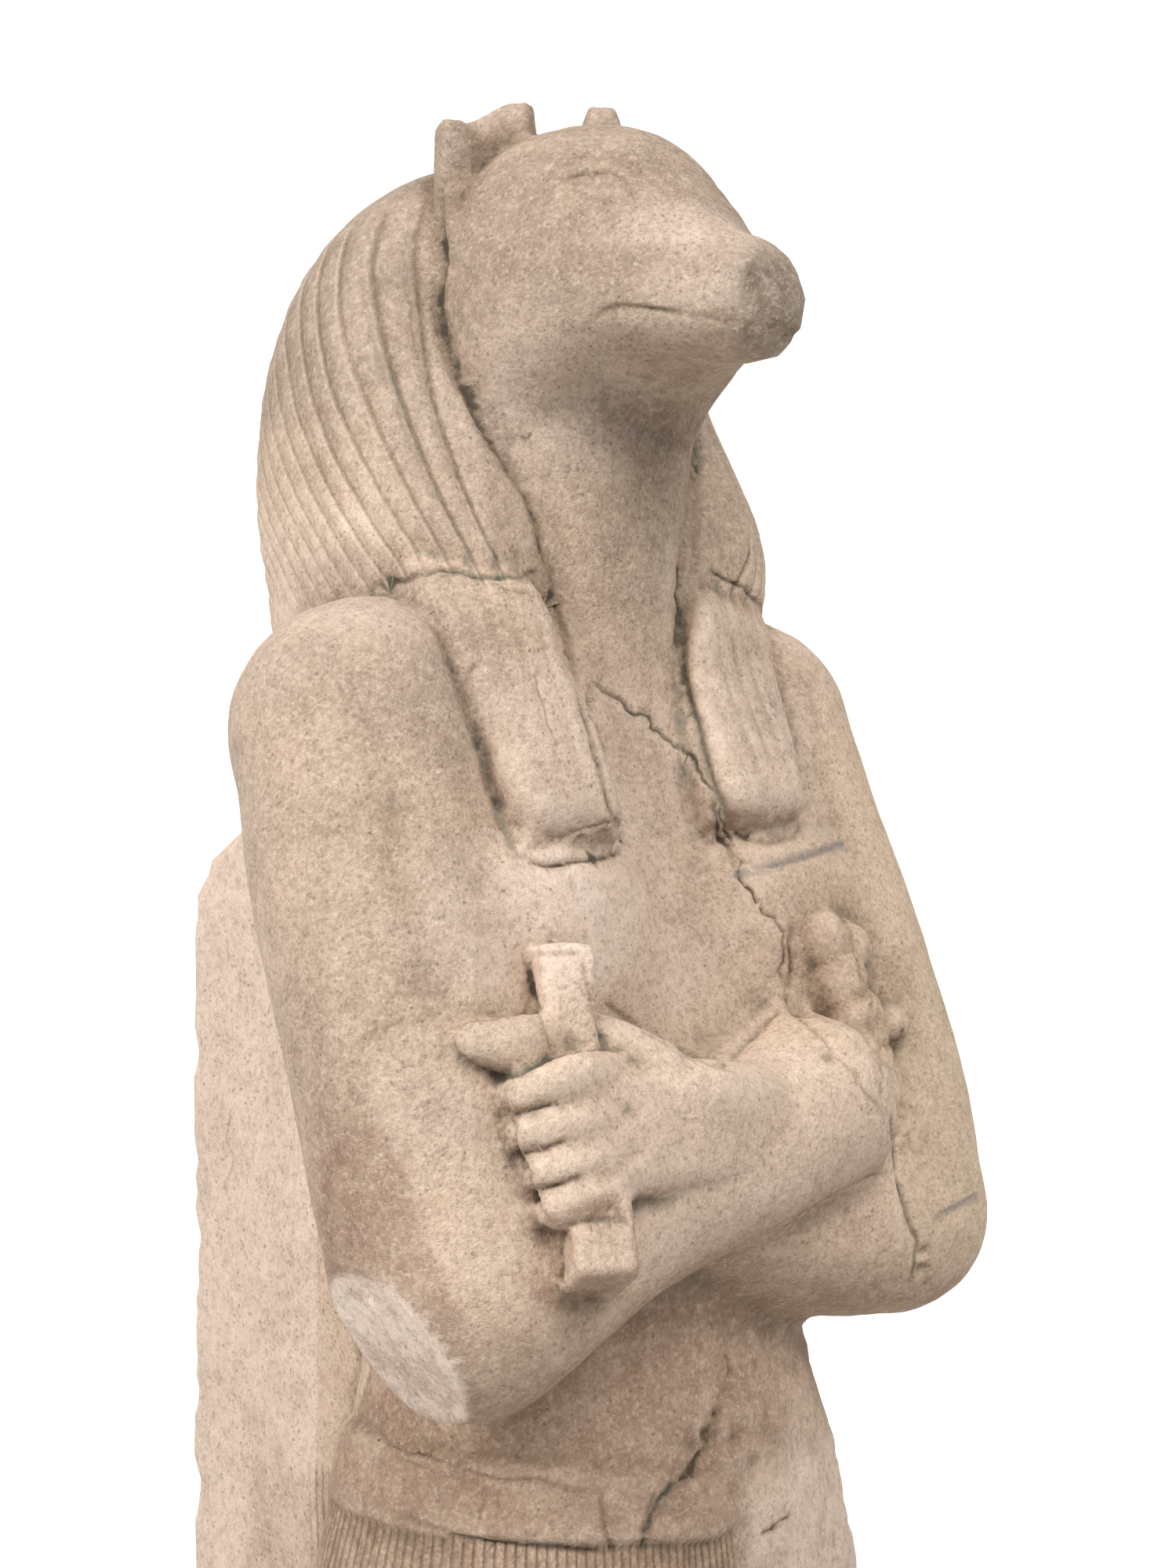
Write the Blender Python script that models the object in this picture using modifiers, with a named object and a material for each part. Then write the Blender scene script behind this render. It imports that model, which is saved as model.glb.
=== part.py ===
# Jackal-headed standing figure in limestone, arms crossed on the chest, with a back pillar and a low base.
# One carved solid. Metres, +Z up; the figure faces -Y, its right hand is on the -X side.
# The origin is the middle of the underside of the base.
import math

import bmesh
import bpy
import numpy as np
from mathutils import Matrix, Vector

# ---------------------------------------------------------------- driving sizes
U = 0.200  # half the breadth over the upper arms and elbows; body sizes below are multiples of it
BASE_W, BASE_L, BASE_H = 1.92 * U, 2.78 * U, 0.36 * U
BASE_FRONT = -1.86  # front edge of the base, in U from the body's axis
AXIS_Y = -(BASE_FRONT * U + BASE_L / 2)  # where the body's vertical axis stands
SOLE = -5.53  # sole height under the chest level, in U
CHEST_Z = BASE_H - SOLE * U  # height of the chest level (ends of the wig's lappets)
HEM = -3.12  # hem of the kilt
PILLAR_HALF, PILLAR_BACK, PILLAR_TOP = 0.45, 0.895, -0.04  # back pillar, in U
BODY_VOXEL, CARVING_VOXEL = 0.0090, 0.0048
BODY_SMOOTH, CARVING_SMOOTH = 7, 2
TRIANGLES = 9000  # of the figure, before base and pillar are joined


def at(x, y, z):
    """A point given in U from the body's axis at chest level, in metres."""
    return Vector((x * U, y * U + AXIS_Y, CHEST_Z + z * U))


def through(rows, t):
    """Smooth curve through rows; the first column is the parameter, and the rest are interpolated at t."""
    rows = np.asarray(rows, float)
    p, v = rows[:, 0], rows[:, 1:]
    slope = np.gradient(v, p, axis=0)
    t = np.clip(np.asarray(t, float), p[0], p[-1])
    i = np.clip(np.searchsorted(p, t, side="right") - 1, 0, len(p) - 2)
    h = (p[i + 1] - p[i])[:, None]
    s = ((t - p[i]) / h[:, 0])[:, None]
    return (
        v[i] * (1 + 2 * s) * (1 - s) ** 2
        + slope[i] * h * s * (1 - s) ** 2
        + v[i + 1] * s * s * (3 - 2 * s)
        + slope[i + 1] * h * s * s * (s - 1)
    )


def step(x, a, b):
    """0 up to a and 1 from b on, smooth between; a may be the larger."""
    t = np.clip((x - a) / (b - a), 0, 1)
    return t * t * (3 - 2 * t)


def power(c, n):
    return np.sign(c) * np.abs(c) ** (2.0 / n)


def loft(name, rings):
    """A closed form through rings of equal point counts, given in U."""
    rings = np.asarray(rings, float)
    count, side = rings.shape[:2]
    mesh = bpy.data.meshes.new(name)
    bm = bmesh.new()
    vs = [[bm.verts.new(at(*p)) for p in ring] for ring in rings]
    for a, b in zip(vs, vs[1:]):
        for i in range(side):
            j = (i + 1) % side
            bm.faces.new((a[i], a[j], b[j], b[i]))
    for ring in (vs[0][::-1], vs[-1]):
        bm.faces.new(ring)
    bmesh.ops.recalc_face_normals(bm, faces=bm.faces)
    bm.to_mesh(mesh)
    bm.free()
    return mesh


def upright(rows, steps=40, side=48):
    """Rings for a body form: rows of (height, half-width, front y, y of greatest width, back y, fullness)."""
    z = np.linspace(rows[0][0], rows[-1][0], steps)
    v = through(rows, z)
    t = np.linspace(0, 2 * math.pi, side, endpoint=False)
    out = []
    for zz, (a, yf, ym, yb, n) in zip(z, v):
        c, s = power(np.cos(t), n), power(np.sin(t), n)
        y = ym + np.where(s < 0, s * (ym - yf), s * (yb - ym))
        out.append(np.stack([a * c, y, np.full(side, zz)], 1))
    return out


def forward(rows, steps=36, side=40):
    """Rings for a form that runs forward: rows of (-y, centre x, half-width, top z, z of greatest width, bottom z, fullness)."""
    d = np.linspace(rows[0][0], rows[-1][0], steps)
    v = through(rows, d)
    t = np.linspace(0, 2 * math.pi, side, endpoint=False)
    out = []
    for dd, (cx, w, zt, zm, zb, n) in zip(d, v):
        c, s = power(np.cos(t), n), power(np.sin(t), n)
        z = zm + np.where(s > 0, s * (zt - zm), s * (zm - zb))
        out.append(np.stack([cx + w * c, np.full(side, -dd), z], 1))
    return out


def limb(name, rows, flat=1.0, steps=22, rounds=(True, True)):
    """A limb: a curve with a round bevel through rows of (x, y, z, radius), its ends rounded, as a mesh. flat thins it front to back."""
    rows = np.asarray(rows, float)
    span = np.r_[0, np.cumsum(np.linalg.norm(np.diff(rows[:, :3], axis=0), axis=1))]
    t = np.linspace(0, span[-1], steps)
    p = through(np.column_stack([span, rows]), t)
    head, tail = p[0], p[-1]
    first = (p[0, :3] - p[1, :3]) / np.linalg.norm(p[0, :3] - p[1, :3])
    last = (p[-1, :3] - p[-2, :3]) / np.linalg.norm(p[-1, :3] - p[-2, :3])
    turn = np.radians([80, 60, 40, 20])
    if rounds[0]:
        start = [np.r_[head[:3] + first * head[3] * math.sin(a), head[3] * math.cos(a)] for a in turn]
        p = np.vstack([start, p])
    if rounds[1]:
        end = [np.r_[tail[:3] + last * tail[3] * math.sin(a), tail[3] * math.cos(a)] for a in turn[::-1]]
        p = np.vstack([p, end])
    curve = bpy.data.curves.new(name, "CURVE")
    curve.dimensions = "3D"
    curve.bevel_depth = U
    curve.bevel_resolution = 6
    curve.use_fill_caps = True
    line = curve.splines.new("POLY")
    line.points.add(len(p) - 1)
    for point, q in zip(line.points, p):
        point.co = (*at(*q[:3]), 1)
        point.radius = q[3]
    obj = bpy.data.objects.new(name, curve)
    bpy.context.scene.collection.objects.link(obj)
    graph = bpy.context.evaluated_depsgraph_get()
    mesh = bpy.data.meshes.new_from_object(obj.evaluated_get(graph))
    bpy.data.objects.remove(obj)
    bm = bmesh.new()
    bm.from_mesh(mesh)
    bmesh.ops.remove_doubles(bm, verts=bm.verts, dist=1e-5)
    if flat != 1.0:
        mid = float(at(0, p[:, 1].mean(), 0).y)
        for v in bm.verts:
            v.co.y = mid + (v.co.y - mid) * flat
    bmesh.ops.recalc_face_normals(bm, faces=bm.faces)
    bm.to_mesh(mesh)
    bm.free()
    return mesh


def block(name, lo, hi, bevel=0.0, turn=None):
    """A cut block between two corners in U, its edges rounded."""
    mesh = bpy.data.meshes.new(name)
    bm = bmesh.new()
    bmesh.ops.create_cube(bm, size=1.0)
    a, b = at(*lo), at(*hi)
    size = b - a
    for v in bm.verts:
        v.co = Vector((v.co.x * size.x, v.co.y * size.y, v.co.z * size.z))
    if bevel:
        bmesh.ops.bevel(bm, geom=bm.edges, offset=bevel * U, segments=3, affect="EDGES", profile=0.6)
    if turn is not None:
        bmesh.ops.transform(bm, matrix=turn, verts=bm.verts)
    bmesh.ops.translate(bm, vec=(a + b) / 2, verts=bm.verts)
    bmesh.ops.recalc_face_normals(bm, faces=bm.faces)
    bm.to_mesh(mesh)
    bm.free()
    return mesh


def ball(name, centre, radii):
    mesh = bpy.data.meshes.new(name)
    bm = bmesh.new()
    bmesh.ops.create_uvsphere(bm, u_segments=28, v_segments=18, radius=1.0)
    bmesh.ops.scale(bm, vec=Vector(radii) * U, verts=bm.verts)
    bmesh.ops.translate(bm, vec=at(*centre), verts=bm.verts)
    bm.to_mesh(mesh)
    bm.free()
    return mesh


# ---------------------------------------------------------------- the body's large forms
def drawn_in(rings):
    """The right side of the waist lies further in than the left."""
    for ring in rings:
        z = ring[0][2]
        pull = 0.155 * float(step(z, -0.95, -1.25) * step(z, -2.35, -1.68))
        ring[:, 0] *= np.where(ring[:, 0] < 0, 1 - pull, 1 + 0.12 * pull)
    return rings


def body_forms():
    torso = [  # height, half-width, front, widest, back, fullness
        (-3.10, 0.80, -0.55, 0.00, 0.46, 2.3),
        (-2.60, 0.83, -0.53, 0.00, 0.47, 2.3),
        (-2.10, 0.81, -0.50, 0.00, 0.45, 2.3),
        (-1.78, 0.765, -0.47, 0.00, 0.41, 2.3),
        (-1.62, 0.72, -0.455, 0.00, 0.38, 2.3),
        (-1.47, 0.665, -0.44, 0.00, 0.36, 2.3),
        (-1.32, 0.62, -0.42, 0.00, 0.345, 2.3),
        (-1.15, 0.59, -0.385, 0.00, 0.34, 2.3),
        (-0.90, 0.60, -0.41, 0.02, 0.37, 2.4),
        (-0.60, 0.64, -0.45, 0.04, 0.40, 2.5),
        (-0.35, 0.66, -0.395, 0.05, 0.42, 2.5),
        (-0.10, 0.67, -0.30, 0.06, 0.42, 2.5),
        (0.12, 0.66, -0.245, 0.08, 0.40, 2.4),
        (0.28, 0.60, -0.20, 0.10, 0.38, 2.2),
        (0.40, 0.50, -0.15, 0.12, 0.36, 2.0),
        (0.50, 0.36, -0.10, 0.12, 0.33, 2.0),
    ]
    neck = [
        (0.05, 0.31, -0.20, 0.05, 0.30, 2.0),
        (0.20, 0.30, -0.215, 0.05, 0.30, 2.0),
        (0.33, 0.292, -0.228, 0.05, 0.30, 2.0),
        (0.46, 0.288, -0.236, 0.03, 0.30, 2.0),
        (0.57, 0.290, -0.240, 0.02, 0.30, 2.0),
        (0.68, 0.300, -0.247, 0.01, 0.30, 2.0),
        (0.76, 0.314, -0.242, 0.00, 0.30, 2.0),
        (0.83, 0.326, -0.232, 0.00, 0.30, 2.0),
        (0.89, 0.334, -0.222, 0.00, 0.30, 2.0),
        (0.94, 0.336, -0.215, 0.00, 0.30, 2.0),
    ]
    skull = [  # forward, centre x, half-width, top, widest, bottom, fullness
        (-0.24, 0, 0.30, 1.40, 1.10, 0.70, 2.0),
        (-0.10, 0, 0.352, 1.472, 1.09, 0.64, 2.05),
        (0.00, 0, 0.366, 1.500, 1.08, 0.620, 2.1),
        (0.10, 0, 0.364, 1.502, 1.07, 0.685, 2.1),
        (0.20, 0, 0.342, 1.486, 1.06, 0.812, 2.1),
        (0.30, 0, 0.298, 1.440, 1.055, 0.888, 2.1),
        (0.37, 0, 0.258, 1.366, 1.05, 0.918, 2.1),
        (0.44, 0, 0.220, 1.276, 1.04, 0.922, 2.15),
        (0.50, 0, 0.188, 1.211, 1.035, 0.915, 2.3),
        (0.55, 0, 0.160, 1.181, 1.035, 0.907, 2.4),
        (0.60, 0, 0.130, 1.159, 1.035, 0.907, 2.4),
        (0.635, 0, 0.104, 1.124, 1.03, 0.922, 2.4),
        (0.660, 0, 0.074, 1.086, 1.025, 0.950, 2.3),
        (0.674, 0, 0.045, 1.055, 1.020, 0.988, 2.2),
    ]
    forms = [
        loft("torso", drawn_in(upright(torso, 56))),
        loft("neck", upright(neck, 24)),
        loft("skull", forward(skull, 44)),
    ]
    for s in (-1, 1):
        forms.append(
            limb(
                "upper_arm",
                [
                    (s * 0.57, 0.01, 0.15, 0.275),
                    (s * 0.60, -0.05, -0.05, 0.275),
                    (s * 0.64, -0.20, -0.40, 0.262),
                    (s * 0.65, -0.33, -0.75, 0.255),
                    (s * 0.64, -0.395, -0.99 + 0.02 * (s > 0), 0.250 - 0.005 * (s > 0)),
                ],
            )
        )
        forms.append(ball("shoulder", (s * 0.57, 0.02, 0.13 + 0.02 * (s > 0)), (0.295, 0.275, 0.285)))
        forms.append(ball("breast", (s * 0.37, -0.25, -0.36), (0.38, 0.205, 0.34)))
        forms.append(ball("armpit", (s * 0.60, -0.20, -0.42), (0.17, 0.215, 0.30)))
    # the right forearm lies in front and ends in a break at the wrist
    forms.append(
        limb(
            "right_forearm",
            [
                (-0.62, -0.40, -0.980, 0.252),
                (-0.50, -0.42, -0.925, 0.236),
                (-0.35, -0.445, -0.852, 0.220),
                (-0.05, -0.48, -0.770, 0.204),
                (0.20, -0.485, -0.710, 0.206),
                (0.36, -0.470, -0.665, 0.212),
            ],
            rounds=(True, False),
        )
    )
    # its lower edge stays square up to the break
    forms.append(
        limb(
            "forearm_edge",
            [
                (-0.05, -0.53, -0.866, 0.090),
                (0.20, -0.53, -0.812, 0.085),
                (0.40, -0.50, -0.780, 0.080),
            ],
            steps=10,
        )
    )
    # the left forearm passes behind it
    forms.append(
        limb(
            "left_forearm",
            [
                (0.66, -0.39, -0.980, 0.246),
                (0.45, -0.37, -0.966, 0.234),
                (0.20, -0.37, -0.910, 0.204),
                (-0.05, -0.42, -0.80, 0.175),
                (-0.22, -0.46, -0.73, 0.160),
            ],
        )
    )
    return forms


def kilt_rings():
    """The kilt below the belt, its left side carried forward by the advanced leg."""
    rows = [
        (HEM, 0.80, -0.60, 0.00, 0.47, 2.5),
        (-2.80, 0.82, -0.57, 0.00, 0.47, 2.4),
        (-2.40, 0.83, -0.53, 0.00, 0.46, 2.3),
        (-2.05, 0.81, -0.50, 0.00, 0.44, 2.3),
        (-1.80, 0.775, -0.475, 0.00, 0.41, 2.3),
        (-1.66, 0.735, -0.464, 0.00, 0.39, 2.3),
        (-1.53, 0.690, -0.452, 0.00, 0.37, 2.3),
    ]
    rings = upright(rows, 30, 56)
    for ring in rings:
        low = min(1.0, max(0.0, (-1.9 - ring[0][2]) / 1.2))
        lead = 1 / (1 + np.exp(-ring[:, 0] / 0.16))
        ring[:, 1] -= 0.17 * low * lead * (ring[:, 1] < 0.2)
        ring[:, 0] *= 1 - 0.03 * low
    return drawn_in(rings)


def leg_forms():
    right = [
        (-0.37, 0.02, -2.75, 0.36),
        (-0.365, 0.00, -3.25, 0.305),
        (-0.36, -0.03, -3.42, 0.285),
        (-0.36, -0.02, -3.62, 0.262),
        (-0.365, 0.05, -4.05, 0.272),
        (-0.355, 0.06, -4.55, 0.222),
        (-0.345, 0.07, -5.00, 0.168),
        (-0.34, 0.08, -5.24, 0.165),
    ]
    left = [
        (0.37, -0.18, -2.75, 0.36),
        (0.365, -0.33, -3.25, 0.305),
        (0.36, -0.41, -3.42, 0.285),
        (0.36, -0.45, -3.62, 0.262),
        (0.365, -0.49, -4.05, 0.272),
        (0.355, -0.60, -4.55, 0.222),
        (0.345, -0.70, -5.00, 0.168),
        (0.34, -0.74, -5.24, 0.165),
    ]
    forms = [limb("right_leg", right, steps=30), limb("left_leg", left, steps=30)]
    for x, y in ((-0.36, -0.19), (0.36, -0.60)):
        forms.append(ball("kneecap", (x, y, -3.43), (0.155, 0.12, 0.19)))
    for x, back in ((-0.34, 0.30), (0.34, -0.52)):
        low = SOLE - 0.06
        foot = [
            (-back, x, 0.10, SOLE + 0.16, SOLE + 0.06, low, 2.4),
            (-back + 0.08, x, 0.145, SOLE + 0.26, SOLE + 0.08, low, 2.4),
            (-back + 0.26, x, 0.150, SOLE + 0.36, SOLE + 0.08, low, 2.4),
            (-back + 0.48, x, 0.158, SOLE + 0.30, SOLE + 0.08, low, 2.4),
            (-back + 0.70, x, 0.182, SOLE + 0.205, SOLE + 0.07, low, 2.6),
            (-back + 0.88, x, 0.195, SOLE + 0.150, SOLE + 0.06, low, 2.8),
            (-back + 1.02, x, 0.185, SOLE + 0.125, SOLE + 0.05, low, 2.8),
            (-back + 1.09, x, 0.150, SOLE + 0.09, SOLE + 0.04, low, 2.6),
        ]
        forms.append(loft("foot", forward(foot, 26, 32)))
    # stone left standing between the legs and the pillar
    forms.append(block("web", (-0.30, -0.36, SOLE - 0.06), (0.36, 0.60, HEM + 0.30), 0.03))
    forms.append(loft("web_front", web_rings()))
    return forms


def web_rings():
    """Stone behind the advanced leg, whose front edge follows the calf."""
    out = []
    for z, front in ((SOLE - 0.06, -0.72), (-5.0, -0.62), (-4.5, -0.52), (-4.0, -0.42), (-3.4, -0.32), (HEM + 0.2, -0.30)):
        lo, hi = 0.12, 0.42
        out.append([(lo, front, z), (hi, front, z), (hi, 0.45, z), (lo, 0.45, z)])
    return out


# ---------------------------------------------------------------- wig, ears, hands and what they hold
def wig_rings():
    """The striated wig behind the face: flat in front where the face and neck come out of it."""
    rows = [  # height, half-width, front plane, y of greatest width, back, fullness
        (0.02, 0.40, 0.12, 0.20, 0.56, 2.6),
        (0.12, 0.455, 0.02, 0.16, 0.62, 2.5),
        (0.26, 0.52, -0.06, 0.13, 0.71, 2.3),
        (0.39, 0.56, -0.13, 0.12, 0.785, 2.15),
        (0.48, 0.565, -0.16, 0.12, 0.81, 2.1),
        (0.60, 0.572, -0.155, 0.13, 0.85, 2.05),
        (0.74, 0.570, -0.11, 0.15, 0.876, 2.0),
        (0.86, 0.558, -0.06, 0.16, 0.876, 2.0),
        (0.97, 0.540, -0.015, 0.17, 0.856, 2.0),
        (1.08, 0.514, 0.015, 0.185, 0.810, 2.0),
        (1.19, 0.476, 0.018, 0.19, 0.740, 2.0),
        (1.28, 0.426, 0.022, 0.20, 0.626, 2.0),
        (1.345, 0.368, 0.030, 0.20, 0.520, 2.0),
        (1.392, 0.300, 0.045, 0.19, 0.420, 2.0),
        (1.430, 0.210, 0.065, 0.17, 0.325, 2.0),
        (1.452, 0.110, 0.090, 0.16, 0.240, 2.0),
    ]
    z = np.linspace(rows[0][0], rows[-1][0], 60)
    v = through(rows, z)
    t = np.linspace(0, 2 * math.pi, 72, endpoint=False)
    out = []
    for zz, (a, yf, ym, yb, n) in zip(z, v):
        c, s = power(np.cos(t), n), power(np.sin(t), n)
        deep = max(ym - yf, 0.02) * 1.30
        y = ym + np.where(s < 0, s * deep, s * (yb - ym))
        y = np.where(y < yf, yf + (y - yf) * 0.12, y)
        spread = 0.035 + 0.090 * float(step(zz, 1.02, 0.62))  # the left side flares more
        x = a * c * np.where(c > 0, 1 + spread, 1.0)
        y = y - np.where(c > 0, 0.03 * c * float(step(zz, 0.95, 0.55)), 0.0)
        out.append(np.stack([x, y, np.full(len(t), zz)], 1))
    return out


def lappet_rings(side):
    """A lappet of the wig lying on the chest, wide over the shoulder and narrowing to a blunt end."""
    if side < 0:
        rows = [  # down, inner x, outer x, front y at the inner and outer edge, thickness
            (-0.56, 0.300, 0.490, -0.115, -0.020, 0.14),
            (-0.50, 0.284, 0.515, -0.180, -0.085, 0.14),
            (-0.43, 0.264, 0.525, -0.238, -0.150, 0.14),
            (-0.30, 0.230, 0.530, -0.280, -0.223, 0.15),
            (-0.15, 0.208, 0.486, -0.347, -0.307, 0.16),
            (0.00, 0.196, 0.466, -0.404, -0.380, 0.17),
            (0.035, 0.192, 0.458, -0.416, -0.396, 0.17),
            (0.060, 0.190, 0.452, -0.410, -0.392, 0.16),
            (0.100, 0.189, 0.448, -0.385, -0.371, 0.13),
            (0.134, 0.190, 0.444, -0.362, -0.352, 0.10),
        ]
    else:
        rows = [
            (-0.56, 0.270, 0.480, -0.115, -0.020, 0.14),
            (-0.50, 0.235, 0.505, -0.180, -0.085, 0.14),
            (-0.43, 0.205, 0.512, -0.238, -0.150, 0.14),
            (-0.30, 0.162, 0.500, -0.268, -0.212, 0.15),
            (-0.15, 0.130, 0.466, -0.335, -0.293, 0.16),
            (-0.04, 0.118, 0.432, -0.388, -0.362, 0.17),
            (0.010, 0.114, 0.420, -0.406, -0.384, 0.17),
            (0.050, 0.118, 0.416, -0.388, -0.370, 0.16),
            (0.088, 0.135, 0.402, -0.345, -0.335, 0.12),
        ]
    d = np.linspace(rows[0][0], rows[-1][0], 24)
    v = through(rows, d)
    t = np.linspace(0, 2 * math.pi, 36, endpoint=False)
    c, s = power(np.cos(t), 5.0), power(np.sin(t), 3.2)
    out = []
    for dd, (xi, xo, yi, yo, th) in zip(d, v):
        u = (c + 1) / 2
        x = xi + (xo - xi) * u
        y = yi + (yo - yi) * u + th / 2 - s * th / 2
        out.append(np.stack([side * x, y, np.full(len(t), -dd)], 1))
    return out


def ear_mesh(side):
    """What is left of an upright ear: a low curved wall, hollow to the front, broken off unevenly."""
    tops = (1.480, 1.494, 1.496, 1.508, 1.536, 1.560, 1.562) if side < 0 else (1.44, 1.47, 1.50, 1.555, 1.602, 1.618, 1.575)
    plan = ((0.322, 0.005), (0.312, 0.040), (0.280, 0.062), (0.235, 0.070), (0.184, 0.060), (0.140, 0.038), (0.110, 0.000))
    rows = [(k, x, y, top) for k, ((x, y), top) in enumerate(zip(plan, tops))]
    t = np.linspace(0, len(rows) - 1, 25)
    path = through(rows, t)
    run = np.gradient(path[:, :2], axis=0)
    across = np.column_stack([-run[:, 1], run[:, 0]]) / np.linalg.norm(run, axis=1)[:, None]
    rings = []
    for (x, y, top), (nx, ny), f in zip(path, across, t / t[-1]):
        half = 0.036 + 0.012 * f
        ring = []
        for c, h in ((-1, 0.0), (1, 0.0), (1, 0.90), (0.6, 1.0), (-0.6, 1.0), (-1, 0.90)):
            ring.append((side * (x + c * half * nx), y + c * half * ny, 1.22 + h * (top - 1.22)))
        rings.append(ring)
    return loft("ear", rings)


def hand_forms():
    forms = []
    # back of the left hand, from the knuckles to the wrist, where it runs into the forearms
    for y, z in ((-0.598, -0.594), (-0.612, -0.630), (-0.622, -0.667), (-0.634, -0.701), (-0.642, -0.735)):
        between = z in (-0.630, -0.701)  # these start behind the gaps of the fingers
        forms.append(
            limb(
                "left_hand",
                [
                    (-0.430 if between else -0.550, y + 0.012 * between, z, 0.046),
                    (-0.390 if between else -0.440, y + 0.006, z, 0.056),
                    (-0.330, -0.600 + (y + 0.622) * 0.6, -0.672 + (z + 0.667) * 0.9, 0.072),
                    (-0.200, -0.596, -0.680 + (z + 0.667) * 0.75, 0.090),
                    (-0.060, -0.580, -0.700 + (z + 0.667) * 0.65, 0.096),
                    (0.100, -0.552, -0.715 + (z + 0.667) * 0.60, 0.090),
                ],
                steps=16,
            )
        )
    # four fingers bent round the staff, each a little further back than the one above
    fingers = (
        ((-0.640, -0.578, -0.570), (-0.589, -0.600, -0.556), (-0.502, -0.596, -0.542), (-0.390, -0.570, -0.553)),
        ((-0.636, -0.600, -0.645), (-0.582, -0.622, -0.634), (-0.506, -0.622, -0.626), (-0.400, -0.590, -0.628)),
        ((-0.620, -0.622, -0.714), (-0.570, -0.642, -0.704), (-0.497, -0.642, -0.695), (-0.405, -0.605, -0.690)),
        ((-0.605, -0.645, -0.783), (-0.558, -0.662, -0.773), (-0.489, -0.660, -0.762), (-0.410, -0.620, -0.748)),
    )
    for joints in fingers:
        forms.append(limb("finger", [(*q, r) for q, r in zip(joints, (0.041, 0.044, 0.044, 0.042))], steps=12))
    forms.append(
        limb(
            "left_thumb",
            [
                (-0.698, -0.505, -0.474, 0.047),
                (-0.640, -0.520, -0.484, 0.058),
                (-0.521, -0.518, -0.474, 0.045),
                (-0.436, -0.520, -0.471, 0.042),
                (-0.366, -0.545, -0.503, 0.055),
                (-0.280, -0.565, -0.563, 0.075),
            ],
            steps=18,
        )
    )
    # the short square staff in the hand: its upper stub and its butt
    forms.append(block("staff_top", (-0.054, -0.075, -0.105), (0.054, 0.075, 0.105), 0.012, bearing(-24, -16, 2)))
    move(forms[-1], (-0.455, -0.478, -0.412))
    forms.append(block("staff_butt", (-0.062, -0.080, -0.085), (0.062, 0.080, 0.085), 0.014, bearing(-24, -30, 4)))
    move(forms[-1], (-0.525, -0.655, -0.862))
    # rough remains of the right hand on the left arm, and the tip of its thumb
    for c, r in (
        ((0.372, -0.434, -0.330), (0.060, 0.075, 0.070)),
        ((0.440, -0.440, -0.345), (0.065, 0.070, 0.060)),
        ((0.395, -0.460, -0.425), (0.065, 0.075, 0.080)),
        ((0.430, -0.480, -0.515), (0.075, 0.075, 0.080)),
        ((0.435, -0.510, -0.600), (0.060, 0.075, 0.075)),
        ((0.450, -0.530, -0.675), (0.045, 0.075, 0.070)),
    ):
        forms.append(ball("hand_remains", c, r))
    forms.append(ball("thumb_tip", (0.520, -0.500, -0.524), (0.050, 0.060, 0.042)))
    return forms


def bearing(yaw, pitch, roll):
    """Turn about the vertical, then a lean forward or back and a lean to the side, in degrees."""
    return (
        Matrix.Rotation(math.radians(yaw), 4, "Z")
        @ Matrix.Rotation(math.radians(roll), 4, "Y")
        @ Matrix.Rotation(math.radians(pitch), 4, "X")
    )


def move(mesh, to):
    """Shifts a form that was made about the axis at chest level to another place, in U."""
    mesh.transform(Matrix.Translation(at(*to) - at(0, 0, 0)))


def carving_forms():
    forms = [loft("wig", wig_rings()), loft("kilt", kilt_rings())]
    for side in (-1, 1):
        forms.append(loft("lappet", lappet_rings(side)))
        forms.append(ear_mesh(side))
    return forms + hand_forms()


# ---------------------------------------------------------------- joining and dressing
def joined(name, meshes):
    bm = bmesh.new()
    for mesh in meshes:
        bm.from_mesh(mesh)
        bpy.data.meshes.remove(mesh)
    whole = bpy.data.meshes.new(name)
    bm.to_mesh(whole)
    bm.free()
    obj = bpy.data.objects.new(name, whole)
    bpy.context.scene.collection.objects.link(obj)
    return obj


def baked(obj):
    """The object's evaluated mesh; the object is removed."""
    graph = bpy.context.evaluated_depsgraph_get()
    mesh = bpy.data.meshes.new_from_object(obj.evaluated_get(graph))
    bpy.data.objects.remove(obj)
    return mesh


def fused(name, meshes, voxel, smooth):
    """Forms run together into one skin, their joints softened."""
    obj = joined(name, meshes)
    remesh = obj.modifiers.new("Remesh", "REMESH")
    remesh.mode = "VOXEL"
    remesh.voxel_size = voxel
    if smooth:
        soften = obj.modifiers.new("Smooth", "SMOOTH")
        soften.factor = 0.5
        soften.iterations = smooth
    return baked(obj)


def coordinates(mesh):
    co = np.empty(len(mesh.vertices) * 3, np.float32)
    mesh.vertices.foreach_get("co", co)
    return co.reshape(-1, 3).astype(float)


def in_units(co):
    return np.column_stack([co[:, 0] / U, (co[:, 1] - AXIS_Y) / U, (co[:, 2] - CHEST_Z) / U])


def belt_edges(x, y):
    """Heights of the belt's lower and upper edge round the waist: it dips and narrows in front."""
    around = np.minimum(np.arctan2(np.abs(x), -(y + 0.02)), 1.65)  # 0 in front
    low = -1.585 + 0.060 * np.minimum(around, 1.0)
    return low, low + 0.130 + 0.015 * around


def flatten(co, centre, normal, reach, rough=0.0):
    """Breaks a piece off: what stands out past the plane comes back to it."""
    n = np.array(normal, float) / np.linalg.norm(normal)
    out = (co - np.array(centre)) @ n
    near = np.linalg.norm(co - np.array(centre), axis=1) < reach
    bite = np.where(near & (out > 0), out, 0.0)
    return co - bite[:, None] * n


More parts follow.
